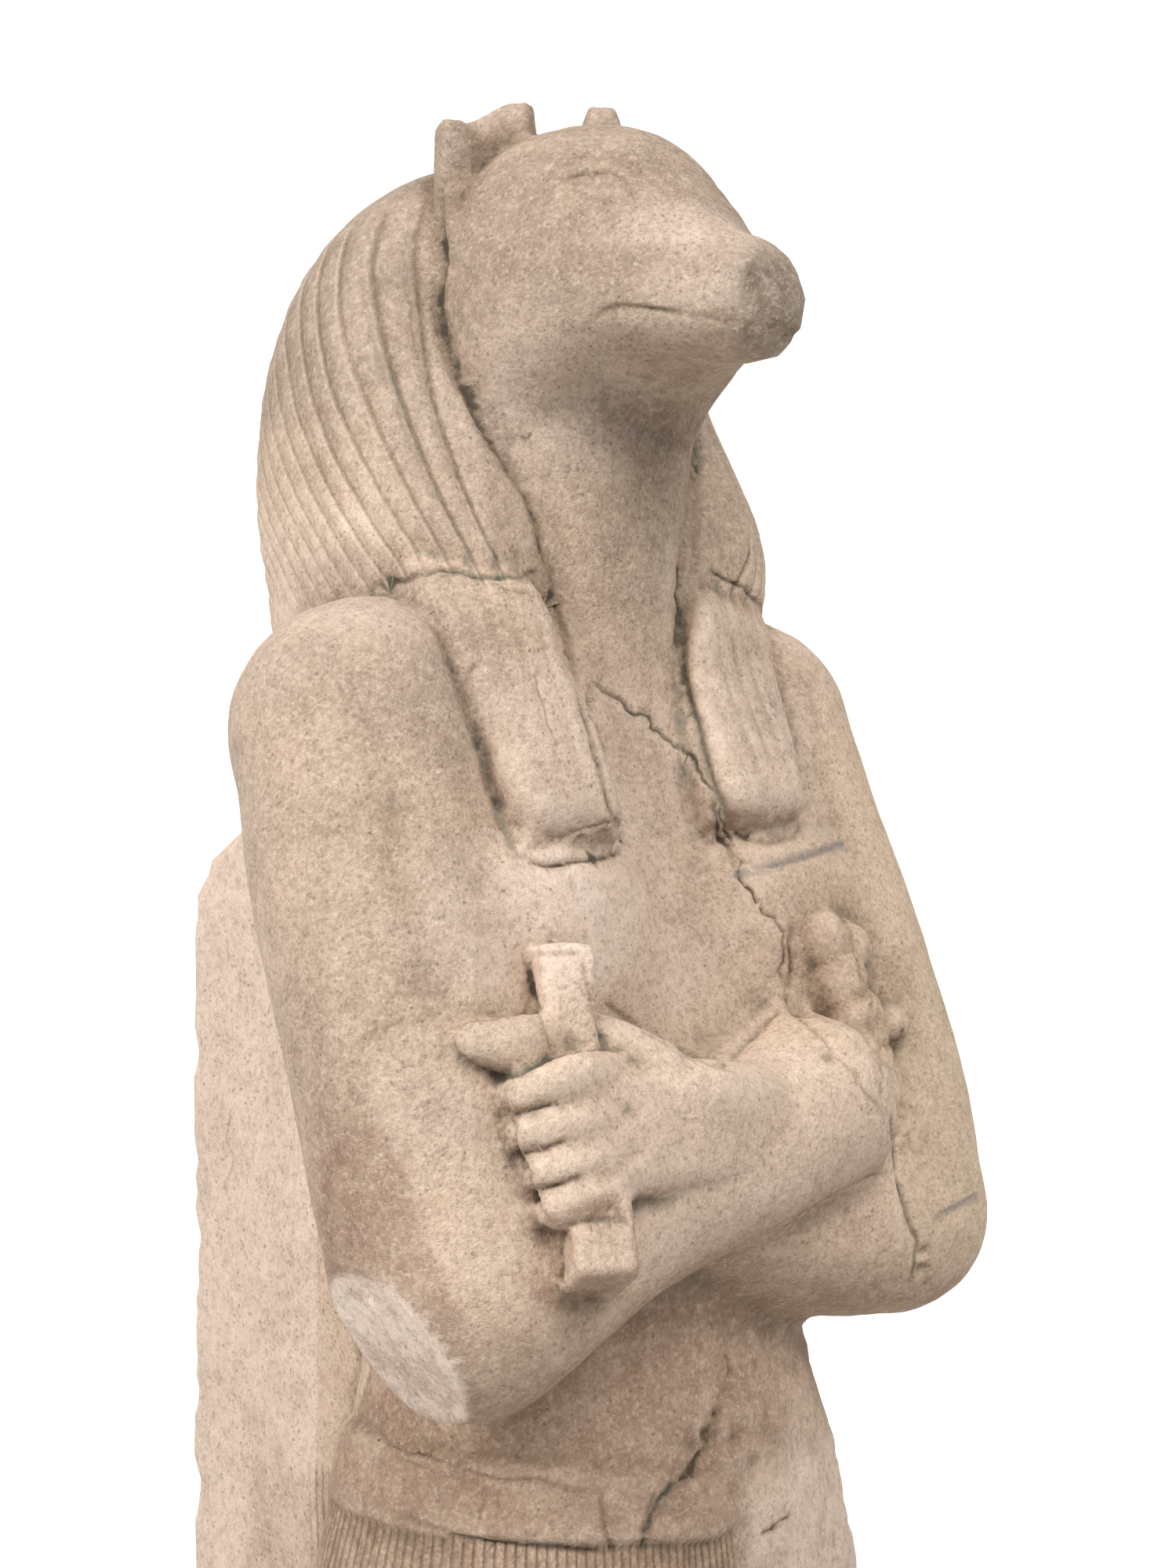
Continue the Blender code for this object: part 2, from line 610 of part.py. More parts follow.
def carve(mesh):
    """Raises the belt on the skin and breaks the chip off the right elbow."""
    co = coordinates(mesh)
    p = in_units(co)
    x, y, z = p.T
    low, high = belt_edges(x, y)
    band = step(z, low - 0.012, low + 0.012) * (1 - step(z, high - 0.012, high + 0.012))
    out = np.column_stack([x, y, np.zeros(len(x))])
    out /= np.maximum(np.linalg.norm(out, axis=1), 1e-6)[:, None]
    free = (np.abs(x) > PILLAR_HALF + 0.035) | (y < 0)
    worn = 1 - step(x, 0.0, 0.16)  # broken away on the left side of the waist
    p = p + out * (band * free * worn * 0.022)[:, None]
    p = flatten(p, (-0.785, -0.390, -1.074), (-0.864, 0.038, -0.501), 0.34)
    co = np.column_stack([p[:, 0] * U, p[:, 1] * U + AXIS_Y, p[:, 2] * U + CHEST_Z])
    mesh.vertices.foreach_set("co", co.astype(np.float32).ravel())
    mesh.update()
    return mesh


def shape_figure():
    body = fused("body", body_forms() + leg_forms(), BODY_VOXEL, BODY_SMOOTH)
    skin = fused("figure", [body] + carving_forms(), CARVING_VOXEL, CARVING_SMOOTH)
    return carve(skin)


def pillar_mesh():
    """The back pillar: a plain shaft whose top is broken, sloping down to the rear."""
    rings = []
    for z, front, back, half in (
        (SOLE - 0.06, 0.20, PILLAR_BACK, PILLAR_HALF),
        (-2.0, 0.20, PILLAR_BACK, PILLAR_HALF),
        (-0.36, 0.20, PILLAR_BACK + 0.005, PILLAR_HALF),
        (-0.25, 0.20, PILLAR_BACK - 0.020, PILLAR_HALF - 0.004),
        (-0.17, 0.20, PILLAR_BACK - 0.070, PILLAR_HALF - 0.015),
        (PILLAR_TOP - 0.05, 0.20, PILLAR_BACK - 0.150, PILLAR_HALF - 0.035),
        (PILLAR_TOP, 0.20, PILLAR_BACK - 0.250, PILLAR_HALF - 0.070),
    ):
        cut = 0.025
        rings.append(
            [(-half, front, z), (half, front, z), (half, back - cut, z), (half - cut, back, z), (-half + cut, back, z), (-half, back - cut, z)]
        )
    return loft("pillar", rings)


def main():
    for obj in list(bpy.data.objects):
        bpy.data.objects.remove(obj)
    group = bpy.data.collections.new("anubis_figure")
    cutters = bpy.data.collections.new("joined_blocks")
    bpy.context.scene.collection.children.link(group)
    bpy.context.scene.collection.children.link(cutters)

    figure = bpy.data.objects.new("anubis_figure", shape_figure())
    group.objects.link(figure)
    faces = sum(len(f.vertices) - 2 for f in figure.data.polygons)
    plain = figure.vertex_groups.new(name="plain")
    x, y, z = in_units(coordinates(figure.data)).T
    hands = step(y, -0.30, -0.40) * step(z, -1.0, -0.95) * (1 - step(z, -0.25, -0.15))
    head = step(z, 0.60, 0.90) * step(y, 0.14, 0.06)
    lappets = step(z, -0.20, -0.12) * (1 - step(z, 0.5, 0.6)) * step(y, -0.20, -0.28) * (np.abs(x) < 0.6)
    for i, w in enumerate(1 - 0.6 * np.clip(hands + 0.7 * head + 0.8 * lappets, 0, 1)):
        plain.add((i,), float(w), "REPLACE")
    thin = figure.modifiers.new("Decimate", "DECIMATE")
    thin.ratio = TRIANGLES / faces
    thin.use_collapse_triangulate = True
    thin.vertex_group = "plain"
    thin.vertex_group_factor = 0.05

    base = block("base", (-BASE_W / 2 / U, BASE_FRONT, SOLE - BASE_H / U), (BASE_W / 2 / U, BASE_FRONT + BASE_L / U, SOLE), 0.03)
    for name, mesh in (("pillar_block", pillar_mesh()), ("base_block", base)):
        helper = bpy.data.objects.new(name, mesh)
        cutters.objects.link(helper)
        helper.hide_render = True
        helper.display_type = "WIRE"
        join = figure.modifiers.new("Join_" + name, "BOOLEAN")
        join.operation = "UNION"
        join.solver = "EXACT"
        join.object = helper

    stone = bpy.data.materials.new("limestone")
    stone.use_nodes = True
    shader = stone.node_tree.nodes["Principled BSDF"]
    shader.inputs["Base Color"].default_value = (0.64, 0.50, 0.385, 1)
    shader.inputs["Roughness"].default_value = 0.9
    shader.inputs["Metallic"].default_value = 0.0
    figure.data.materials.append(stone)


main()
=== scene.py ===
# Weathered limestone figure with a jackal's head, on the frame's one body. Metres, +Z up; the figure faces -Y.
import math

import bmesh
import bpy
import numpy as np
from mathutils import Matrix, Vector
from mathutils.bvhtree import BVHTree


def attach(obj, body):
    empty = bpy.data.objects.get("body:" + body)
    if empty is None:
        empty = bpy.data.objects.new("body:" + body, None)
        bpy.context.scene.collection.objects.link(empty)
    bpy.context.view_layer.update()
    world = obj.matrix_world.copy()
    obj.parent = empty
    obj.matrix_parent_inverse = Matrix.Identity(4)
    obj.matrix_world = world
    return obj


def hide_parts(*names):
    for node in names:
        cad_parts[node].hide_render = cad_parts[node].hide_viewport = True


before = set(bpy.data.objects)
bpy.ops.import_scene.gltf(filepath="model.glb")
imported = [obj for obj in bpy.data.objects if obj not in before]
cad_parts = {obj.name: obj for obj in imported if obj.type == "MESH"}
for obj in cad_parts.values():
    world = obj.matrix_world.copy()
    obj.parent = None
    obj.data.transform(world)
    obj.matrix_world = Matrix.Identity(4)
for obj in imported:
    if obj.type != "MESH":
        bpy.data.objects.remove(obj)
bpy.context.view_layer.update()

# ---------------------------------------------------------------- driving sizes, as in the solid
U = 0.200
BASE_W, BASE_L, BASE_H = 1.92 * U, 2.78 * U, 0.36 * U
BASE_FRONT = -1.86
AXIS_Y = -(BASE_FRONT * U + BASE_L / 2)
SOLE = -5.53
CHEST_Z = BASE_H - SOLE * U
HEM = -3.12
PILLAR_HALF, PILLAR_BACK, PILLAR_TOP = 0.45, 0.895, -0.04
BODY_VOXEL, CARVING_VOXEL = 0.0065, 0.0022
BODY_SMOOTH, CARVING_SMOOTH = 7, 2
TRIANGLES = 112000
TURN = math.radians(42)  # the camera stands to the figure's right front
REACH = 5.0  # its distance from the body's axis, in U


def at(x, y, z):
    """A point given in U from the body's axis at chest level, in metres."""
    return Vector((x * U, y * U + AXIS_Y, CHEST_Z + z * U))


def through(rows, t):
    """Smooth curve through rows; the first column is the parameter, and the rest are interpolated at t."""
    rows = np.asarray(rows, float)
    p, v = rows[:, 0], rows[:, 1:]
    slope = np.gradient(v, p, axis=0)
    t = np.clip(np.asarray(t, float), p[0], p[-1])
    i = np.clip(np.searchsorted(p, t, side="right") - 1, 0, len(p) - 2)
    h = (p[i + 1] - p[i])[:, None]
    s = ((t - p[i]) / h[:, 0])[:, None]
    return (
        v[i] * (1 + 2 * s) * (1 - s) ** 2
        + slope[i] * h * s * (1 - s) ** 2
        + v[i + 1] * s * s * (3 - 2 * s)
        + slope[i + 1] * h * s * s * (s - 1)
    )


def step(x, a, b):
    """0 up to a and 1 from b on, smooth between; a may be the larger."""
    t = np.clip((x - a) / (b - a), 0, 1)
    return t * t * (3 - 2 * t)


def power(c, n):
    return np.sign(c) * np.abs(c) ** (2.0 / n)


def loft(name, rings):
    """A closed form through rings of equal point counts, given in U."""
    rings = np.asarray(rings, float)
    count, side = rings.shape[:2]
    mesh = bpy.data.meshes.new(name)
    bm = bmesh.new()
    vs = [[bm.verts.new(at(*p)) for p in ring] for ring in rings]
    for a, b in zip(vs, vs[1:]):
        for i in range(side):
            j = (i + 1) % side
            bm.faces.new((a[i], a[j], b[j], b[i]))
    for ring in (vs[0][::-1], vs[-1]):
        bm.faces.new(ring)
    bmesh.ops.recalc_face_normals(bm, faces=bm.faces)
    bm.to_mesh(mesh)
    bm.free()
    return mesh


def upright(rows, steps=40, side=48):
    """Rings for a body form: rows of (height, half-width, front y, y of greatest width, back y, fullness)."""
    z = np.linspace(rows[0][0], rows[-1][0], steps)
    v = through(rows, z)
    t = np.linspace(0, 2 * math.pi, side, endpoint=False)
    out = []
    for zz, (a, yf, ym, yb, n) in zip(z, v):
        c, s = power(np.cos(t), n), power(np.sin(t), n)
        y = ym + np.where(s < 0, s * (ym - yf), s * (yb - ym))
        out.append(np.stack([a * c, y, np.full(side, zz)], 1))
    return out


def forward(rows, steps=36, side=40):
    """Rings for a form that runs forward: rows of (-y, centre x, half-width, top z, z of greatest width, bottom z, fullness)."""
    d = np.linspace(rows[0][0], rows[-1][0], steps)
    v = through(rows, d)
    t = np.linspace(0, 2 * math.pi, side, endpoint=False)
    out = []
    for dd, (cx, w, zt, zm, zb, n) in zip(d, v):
        c, s = power(np.cos(t), n), power(np.sin(t), n)
        z = zm + np.where(s > 0, s * (zt - zm), s * (zm - zb))
        out.append(np.stack([cx + w * c, np.full(side, -dd), z], 1))
    return out


def limb(name, rows, flat=1.0, steps=22, rounds=(True, True)):
    """A limb: a curve with a round bevel through rows of (x, y, z, radius), its ends rounded, as a mesh. flat thins it front to back."""
    rows = np.asarray(rows, float)
    span = np.r_[0, np.cumsum(np.linalg.norm(np.diff(rows[:, :3], axis=0), axis=1))]
    t = np.linspace(0, span[-1], steps)
    p = through(np.column_stack([span, rows]), t)
    head, tail = p[0], p[-1]
    first = (p[0, :3] - p[1, :3]) / np.linalg.norm(p[0, :3] - p[1, :3])
    last = (p[-1, :3] - p[-2, :3]) / np.linalg.norm(p[-1, :3] - p[-2, :3])
    turn = np.radians([80, 60, 40, 20])
    if rounds[0]:
        start = [np.r_[head[:3] + first * head[3] * math.sin(a), head[3] * math.cos(a)] for a in turn]
        p = np.vstack([start, p])
    if rounds[1]:
        end = [np.r_[tail[:3] + last * tail[3] * math.sin(a), tail[3] * math.cos(a)] for a in turn[::-1]]
        p = np.vstack([p, end])
    curve = bpy.data.curves.new(name, "CURVE")
    curve.dimensions = "3D"
    curve.bevel_depth = U
    curve.bevel_resolution = 6
    curve.use_fill_caps = True
    line = curve.splines.new("POLY")
    line.points.add(len(p) - 1)
    for point, q in zip(line.points, p):
        point.co = (*at(*q[:3]), 1)
        point.radius = q[3]
    obj = bpy.data.objects.new(name, curve)
    bpy.context.scene.collection.objects.link(obj)
    graph = bpy.context.evaluated_depsgraph_get()
    mesh = bpy.data.meshes.new_from_object(obj.evaluated_get(graph))
    bpy.data.objects.remove(obj)
    bm = bmesh.new()
    bm.from_mesh(mesh)
    bmesh.ops.remove_doubles(bm, verts=bm.verts, dist=1e-5)
    if flat != 1.0:
        mid = float(at(0, p[:, 1].mean(), 0).y)
        for v in bm.verts:
            v.co.y = mid + (v.co.y - mid) * flat
    bmesh.ops.recalc_face_normals(bm, faces=bm.faces)
    bm.to_mesh(mesh)
    bm.free()
    return mesh


def block(name, lo, hi, bevel=0.0, turn=None):
    """A cut block between two corners in U, its edges rounded."""
    mesh = bpy.data.meshes.new(name)
    bm = bmesh.new()
    bmesh.ops.create_cube(bm, size=1.0)
    a, b = at(*lo), at(*hi)
    size = b - a
    for v in bm.verts:
        v.co = Vector((v.co.x * size.x, v.co.y * size.y, v.co.z * size.z))
    if bevel:
        bmesh.ops.bevel(bm, geom=bm.edges, offset=bevel * U, segments=3, affect="EDGES", profile=0.6)
    if turn is not None:
        bmesh.ops.transform(bm, matrix=turn, verts=bm.verts)
    bmesh.ops.translate(bm, vec=(a + b) / 2, verts=bm.verts)
    bmesh.ops.recalc_face_normals(bm, faces=bm.faces)
    bm.to_mesh(mesh)
    bm.free()
    return mesh


def ball(name, centre, radii):
    mesh = bpy.data.meshes.new(name)
    bm = bmesh.new()
    bmesh.ops.create_uvsphere(bm, u_segments=28, v_segments=18, radius=1.0)
    bmesh.ops.scale(bm, vec=Vector(radii) * U, verts=bm.verts)
    bmesh.ops.translate(bm, vec=at(*centre), verts=bm.verts)
    bm.to_mesh(mesh)
    bm.free()
    return mesh


# ---------------------------------------------------------------- the body's large forms
def drawn_in(rings):
    """The right side of the waist lies further in than the left."""
    for ring in rings:
        z = ring[0][2]
        pull = 0.155 * float(step(z, -0.95, -1.25) * step(z, -2.35, -1.68))
        ring[:, 0] *= np.where(ring[:, 0] < 0, 1 - pull, 1 + 0.12 * pull)
    return rings


def body_forms():
    torso = [  # height, half-width, front, widest, back, fullness
        (-3.10, 0.80, -0.55, 0.00, 0.46, 2.3),
        (-2.60, 0.83, -0.53, 0.00, 0.47, 2.3),
        (-2.10, 0.81, -0.50, 0.00, 0.45, 2.3),
        (-1.78, 0.765, -0.47, 0.00, 0.41, 2.3),
        (-1.62, 0.72, -0.455, 0.00, 0.38, 2.3),
        (-1.47, 0.665, -0.44, 0.00, 0.36, 2.3),
        (-1.32, 0.62, -0.42, 0.00, 0.345, 2.3),
        (-1.15, 0.59, -0.385, 0.00, 0.34, 2.3),
        (-0.90, 0.60, -0.41, 0.02, 0.37, 2.4),
        (-0.60, 0.64, -0.45, 0.04, 0.40, 2.5),
        (-0.35, 0.66, -0.395, 0.05, 0.42, 2.5),
        (-0.10, 0.67, -0.30, 0.06, 0.42, 2.5),
        (0.12, 0.66, -0.245, 0.08, 0.40, 2.4),
        (0.28, 0.60, -0.20, 0.10, 0.38, 2.2),
        (0.40, 0.50, -0.15, 0.12, 0.36, 2.0),
        (0.50, 0.36, -0.10, 0.12, 0.33, 2.0),
    ]
    neck = [
        (0.05, 0.31, -0.20, 0.05, 0.30, 2.0),
        (0.20, 0.30, -0.215, 0.05, 0.30, 2.0),
        (0.33, 0.292, -0.228, 0.05, 0.30, 2.0),
        (0.46, 0.288, -0.236, 0.03, 0.30, 2.0),
        (0.57, 0.290, -0.240, 0.02, 0.30, 2.0),
        (0.68, 0.300, -0.247, 0.01, 0.30, 2.0),
        (0.76, 0.314, -0.242, 0.00, 0.30, 2.0),
        (0.83, 0.326, -0.232, 0.00, 0.30, 2.0),
        (0.89, 0.334, -0.222, 0.00, 0.30, 2.0),
        (0.94, 0.336, -0.215, 0.00, 0.30, 2.0),
    ]
    skull = [  # forward, centre x, half-width, top, widest, bottom, fullness
        (-0.24, 0, 0.30, 1.40, 1.10, 0.70, 2.0),
        (-0.10, 0, 0.352, 1.472, 1.09, 0.64, 2.05),
        (0.00, 0, 0.366, 1.500, 1.08, 0.620, 2.1),
        (0.10, 0, 0.364, 1.502, 1.07, 0.685, 2.1),
        (0.20, 0, 0.342, 1.486, 1.06, 0.812, 2.1),
        (0.30, 0, 0.298, 1.440, 1.055, 0.888, 2.1),
        (0.37, 0, 0.258, 1.366, 1.05, 0.918, 2.1),
        (0.44, 0, 0.220, 1.276, 1.04, 0.922, 2.15),
        (0.50, 0, 0.188, 1.211, 1.035, 0.915, 2.3),
        (0.55, 0, 0.160, 1.181, 1.035, 0.907, 2.4),
        (0.60, 0, 0.130, 1.159, 1.035, 0.907, 2.4),
        (0.635, 0, 0.104, 1.124, 1.03, 0.922, 2.4),
        (0.660, 0, 0.074, 1.086, 1.025, 0.950, 2.3),
        (0.674, 0, 0.045, 1.055, 1.020, 0.988, 2.2),
    ]
    forms = [
        loft("torso", drawn_in(upright(torso, 56))),
        loft("neck", upright(neck, 24)),
        loft("skull", forward(skull, 44)),
    ]
    for s in (-1, 1):
        forms.append(
            limb(
                "upper_arm",
                [
                    (s * 0.57, 0.01, 0.15, 0.275),
                    (s * 0.60, -0.05, -0.05, 0.275),
                    (s * 0.64, -0.20, -0.40, 0.262),
                    (s * 0.65, -0.33, -0.75, 0.255),
                    (s * 0.64, -0.395, -0.99 + 0.02 * (s > 0), 0.250 - 0.005 * (s > 0)),
                ],
            )
        )
        forms.append(ball("shoulder", (s * 0.57, 0.02, 0.13 + 0.02 * (s > 0)), (0.295, 0.275, 0.285)))
        forms.append(ball("breast", (s * 0.37, -0.25, -0.36), (0.38, 0.205, 0.34)))
        forms.append(ball("armpit", (s * 0.60, -0.20, -0.42), (0.17, 0.215, 0.30)))
    # the right forearm lies in front and ends in a break at the wrist
    forms.append(
        limb(
            "right_forearm",
            [
                (-0.62, -0.40, -0.980, 0.252),
                (-0.50, -0.42, -0.925, 0.236),
                (-0.35, -0.445, -0.852, 0.220),
                (-0.05, -0.48, -0.770, 0.204),
                (0.20, -0.485, -0.710, 0.206),
                (0.36, -0.470, -0.665, 0.212),
            ],
            rounds=(True, False),
        )
    )
    # its lower edge stays square up to the break
    forms.append(
        limb(
            "forearm_edge",
            [
                (-0.05, -0.53, -0.866, 0.090),
                (0.20, -0.53, -0.812, 0.085),
                (0.40, -0.50, -0.780, 0.080),
            ],
            steps=10,
        )
    )
    # the left forearm passes behind it
    forms.append(
        limb(
            "left_forearm",
            [
                (0.66, -0.39, -0.980, 0.246),
                (0.45, -0.37, -0.966, 0.234),
                (0.20, -0.37, -0.910, 0.204),
                (-0.05, -0.42, -0.80, 0.175),
                (-0.22, -0.46, -0.73, 0.160),
            ],
        )
    )
    return forms


def kilt_rings():
    """The kilt below the belt, its left side carried forward by the advanced leg."""
    rows = [
        (HEM, 0.80, -0.60, 0.00, 0.47, 2.5),
        (-2.80, 0.82, -0.57, 0.00, 0.47, 2.4),
        (-2.40, 0.83, -0.53, 0.00, 0.46, 2.3),
        (-2.05, 0.81, -0.50, 0.00, 0.44, 2.3),
        (-1.80, 0.775, -0.475, 0.00, 0.41, 2.3),
        (-1.66, 0.735, -0.464, 0.00, 0.39, 2.3),
        (-1.53, 0.690, -0.452, 0.00, 0.37, 2.3),
    ]
    rings = upright(rows, 30, 56)
    for ring in rings:
        low = min(1.0, max(0.0, (-1.9 - ring[0][2]) / 1.2))
        lead = 1 / (1 + np.exp(-ring[:, 0] / 0.16))
        ring[:, 1] -= 0.17 * low * lead * (ring[:, 1] < 0.2)
        ring[:, 0] *= 1 - 0.03 * low
    return drawn_in(rings)


def leg_forms():
    right = [
        (-0.37, 0.02, -2.75, 0.36),
        (-0.365, 0.00, -3.25, 0.305),
        (-0.36, -0.03, -3.42, 0.285),
        (-0.36, -0.02, -3.62, 0.262),
        (-0.365, 0.05, -4.05, 0.272),
        (-0.355, 0.06, -4.55, 0.222),
        (-0.345, 0.07, -5.00, 0.168),
        (-0.34, 0.08, -5.24, 0.165),
    ]
    left = [
        (0.37, -0.18, -2.75, 0.36),
        (0.365, -0.33, -3.25, 0.305),
        (0.36, -0.41, -3.42, 0.285),
        (0.36, -0.45, -3.62, 0.262),
        (0.365, -0.49, -4.05, 0.272),
        (0.355, -0.60, -4.55, 0.222),
        (0.345, -0.70, -5.00, 0.168),
        (0.34, -0.74, -5.24, 0.165),
    ]
    forms = [limb("right_leg", right, steps=30), limb("left_leg", left, steps=30)]
    for x, y in ((-0.36, -0.19), (0.36, -0.60)):
        forms.append(ball("kneecap", (x, y, -3.43), (0.155, 0.12, 0.19)))
    for x, back in ((-0.34, 0.30), (0.34, -0.52)):
        low = SOLE - 0.06
        foot = [
            (-back, x, 0.10, SOLE + 0.16, SOLE + 0.06, low, 2.4),
            (-back + 0.08, x, 0.145, SOLE + 0.26, SOLE + 0.08, low, 2.4),
            (-back + 0.26, x, 0.150, SOLE + 0.36, SOLE + 0.08, low, 2.4),
            (-back + 0.48, x, 0.158, SOLE + 0.30, SOLE + 0.08, low, 2.4),
            (-back + 0.70, x, 0.182, SOLE + 0.205, SOLE + 0.07, low, 2.6),
            (-back + 0.88, x, 0.195, SOLE + 0.150, SOLE + 0.06, low, 2.8),
            (-back + 1.02, x, 0.185, SOLE + 0.125, SOLE + 0.05, low, 2.8),
            (-back + 1.09, x, 0.150, SOLE + 0.09, SOLE + 0.04, low, 2.6),
        ]
        forms.append(loft("foot", forward(foot, 26, 32)))
    # stone left standing between the legs and the pillar
    forms.append(block("web", (-0.30, -0.36, SOLE - 0.06), (0.36, 0.60, HEM + 0.30), 0.03))
    forms.append(loft("web_front", web_rings()))
    return forms


def web_rings():
    """Stone behind the advanced leg, whose front edge follows the calf."""
    out = []
    for z, front in ((SOLE - 0.06, -0.72), (-5.0, -0.62), (-4.5, -0.52), (-4.0, -0.42), (-3.4, -0.32), (HEM + 0.2, -0.30)):
        lo, hi = 0.12, 0.42
        out.append([(lo, front, z), (hi, front, z), (hi, 0.45, z), (lo, 0.45, z)])
    return out


# ---------------------------------------------------------------- wig, ears, hands and what they hold
def wig_rings():
    """The striated wig behind the face: flat in front where the face and neck come out of it."""
    rows = [  # height, half-width, front plane, y of greatest width, back, fullness
        (0.02, 0.40, 0.12, 0.20, 0.56, 2.6),
        (0.12, 0.455, 0.02, 0.16, 0.62, 2.5),
        (0.26, 0.52, -0.06, 0.13, 0.71, 2.3),
        (0.39, 0.56, -0.13, 0.12, 0.785, 2.15),
        (0.48, 0.565, -0.16, 0.12, 0.81, 2.1),
        (0.60, 0.572, -0.155, 0.13, 0.85, 2.05),
        (0.74, 0.570, -0.11, 0.15, 0.876, 2.0),
        (0.86, 0.558, -0.06, 0.16, 0.876, 2.0),
        (0.97, 0.540, -0.015, 0.17, 0.856, 2.0),
        (1.08, 0.514, 0.015, 0.185, 0.810, 2.0),
        (1.19, 0.476, 0.018, 0.19, 0.740, 2.0),
        (1.28, 0.426, 0.022, 0.20, 0.626, 2.0),
        (1.345, 0.368, 0.030, 0.20, 0.520, 2.0),
        (1.392, 0.300, 0.045, 0.19, 0.420, 2.0),
        (1.430, 0.210, 0.065, 0.17, 0.325, 2.0),
        (1.452, 0.110, 0.090, 0.16, 0.240, 2.0),
    ]
    z = np.linspace(rows[0][0], rows[-1][0], 60)
    v = through(rows, z)
    t = np.linspace(0, 2 * math.pi, 72, endpoint=False)
    out = []
    for zz, (a, yf, ym, yb, n) in zip(z, v):
        c, s = power(np.cos(t), n), power(np.sin(t), n)
        deep = max(ym - yf, 0.02) * 1.30
        y = ym + np.where(s < 0, s * deep, s * (yb - ym))
        y = np.where(y < yf, yf + (y - yf) * 0.12, y)
        spread = 0.035 + 0.090 * float(step(zz, 1.02, 0.62))  # the left side flares more
        x = a * c * np.where(c > 0, 1 + spread, 1.0)
        y = y - np.where(c > 0, 0.03 * c * float(step(zz, 0.95, 0.55)), 0.0)
        out.append(np.stack([x, y, np.full(len(t), zz)], 1))
    return out


def lappet_rings(side):
    """A lappet of the wig lying on the chest, wide over the shoulder and narrowing to a blunt end."""
    if side < 0:
        rows = [  # down, inner x, outer x, front y at the inner and outer edge, thickness
            (-0.56, 0.300, 0.490, -0.115, -0.020, 0.14),
            (-0.50, 0.284, 0.515, -0.180, -0.085, 0.14),
            (-0.43, 0.264, 0.525, -0.238, -0.150, 0.14),
            (-0.30, 0.230, 0.530, -0.280, -0.223, 0.15),
            (-0.15, 0.208, 0.486, -0.347, -0.307, 0.16),
            (0.00, 0.196, 0.466, -0.404, -0.380, 0.17),
            (0.035, 0.192, 0.458, -0.416, -0.396, 0.17),
            (0.060, 0.190, 0.452, -0.410, -0.392, 0.16),
            (0.100, 0.189, 0.448, -0.385, -0.371, 0.13),
            (0.134, 0.190, 0.444, -0.362, -0.352, 0.10),
        ]
    else:
        rows = [
            (-0.56, 0.270, 0.480, -0.115, -0.020, 0.14),
            (-0.50, 0.235, 0.505, -0.180, -0.085, 0.14),
            (-0.43, 0.205, 0.512, -0.238, -0.150, 0.14),
            (-0.30, 0.162, 0.500, -0.268, -0.212, 0.15),
            (-0.15, 0.130, 0.466, -0.335, -0.293, 0.16),
            (-0.04, 0.118, 0.432, -0.388, -0.362, 0.17),
            (0.010, 0.114, 0.420, -0.406, -0.384, 0.17),
            (0.050, 0.118, 0.416, -0.388, -0.370, 0.16),
            (0.088, 0.135, 0.402, -0.345, -0.335, 0.12),
        ]
    d = np.linspace(rows[0][0], rows[-1][0], 24)
    v = through(rows, d)
    t = np.linspace(0, 2 * math.pi, 36, endpoint=False)
    c, s = power(np.cos(t), 5.0), power(np.sin(t), 3.2)
    out = []
    for dd, (xi, xo, yi, yo, th) in zip(d, v):
        u = (c + 1) / 2
        x = xi + (xo - xi) * u
        y = yi + (yo - yi) * u + th / 2 - s * th / 2
        out.append(np.stack([side * x, y, np.full(len(t), -dd)], 1))
    return out


def ear_mesh(side):
    """What is left of an upright ear: a low curved wall, hollow to the front, broken off unevenly."""
    tops = (1.480, 1.494, 1.496, 1.508, 1.536, 1.560, 1.562) if side < 0 else (1.44, 1.47, 1.50, 1.555, 1.602, 1.618, 1.575)
    plan = ((0.322, 0.005), (0.312, 0.040), (0.280, 0.062), (0.235, 0.070), (0.184, 0.060), (0.140, 0.038), (0.110, 0.000))
    rows = [(k, x, y, top) for k, ((x, y), top) in enumerate(zip(plan, tops))]
    t = np.linspace(0, len(rows) - 1, 25)
    path = through(rows, t)
    run = np.gradient(path[:, :2], axis=0)
    across = np.column_stack([-run[:, 1], run[:, 0]]) / np.linalg.norm(run, axis=1)[:, None]
    rings = []
    for (x, y, top), (nx, ny), f in zip(path, across, t / t[-1]):
        half = 0.036 + 0.012 * f
        ring = []
        for c, h in ((-1, 0.0), (1, 0.0), (1, 0.90), (0.6, 1.0), (-0.6, 1.0), (-1, 0.90)):
            ring.append((side * (x + c * half * nx), y + c * half * ny, 1.22 + h * (top - 1.22)))
        rings.append(ring)
    return loft("ear", rings)


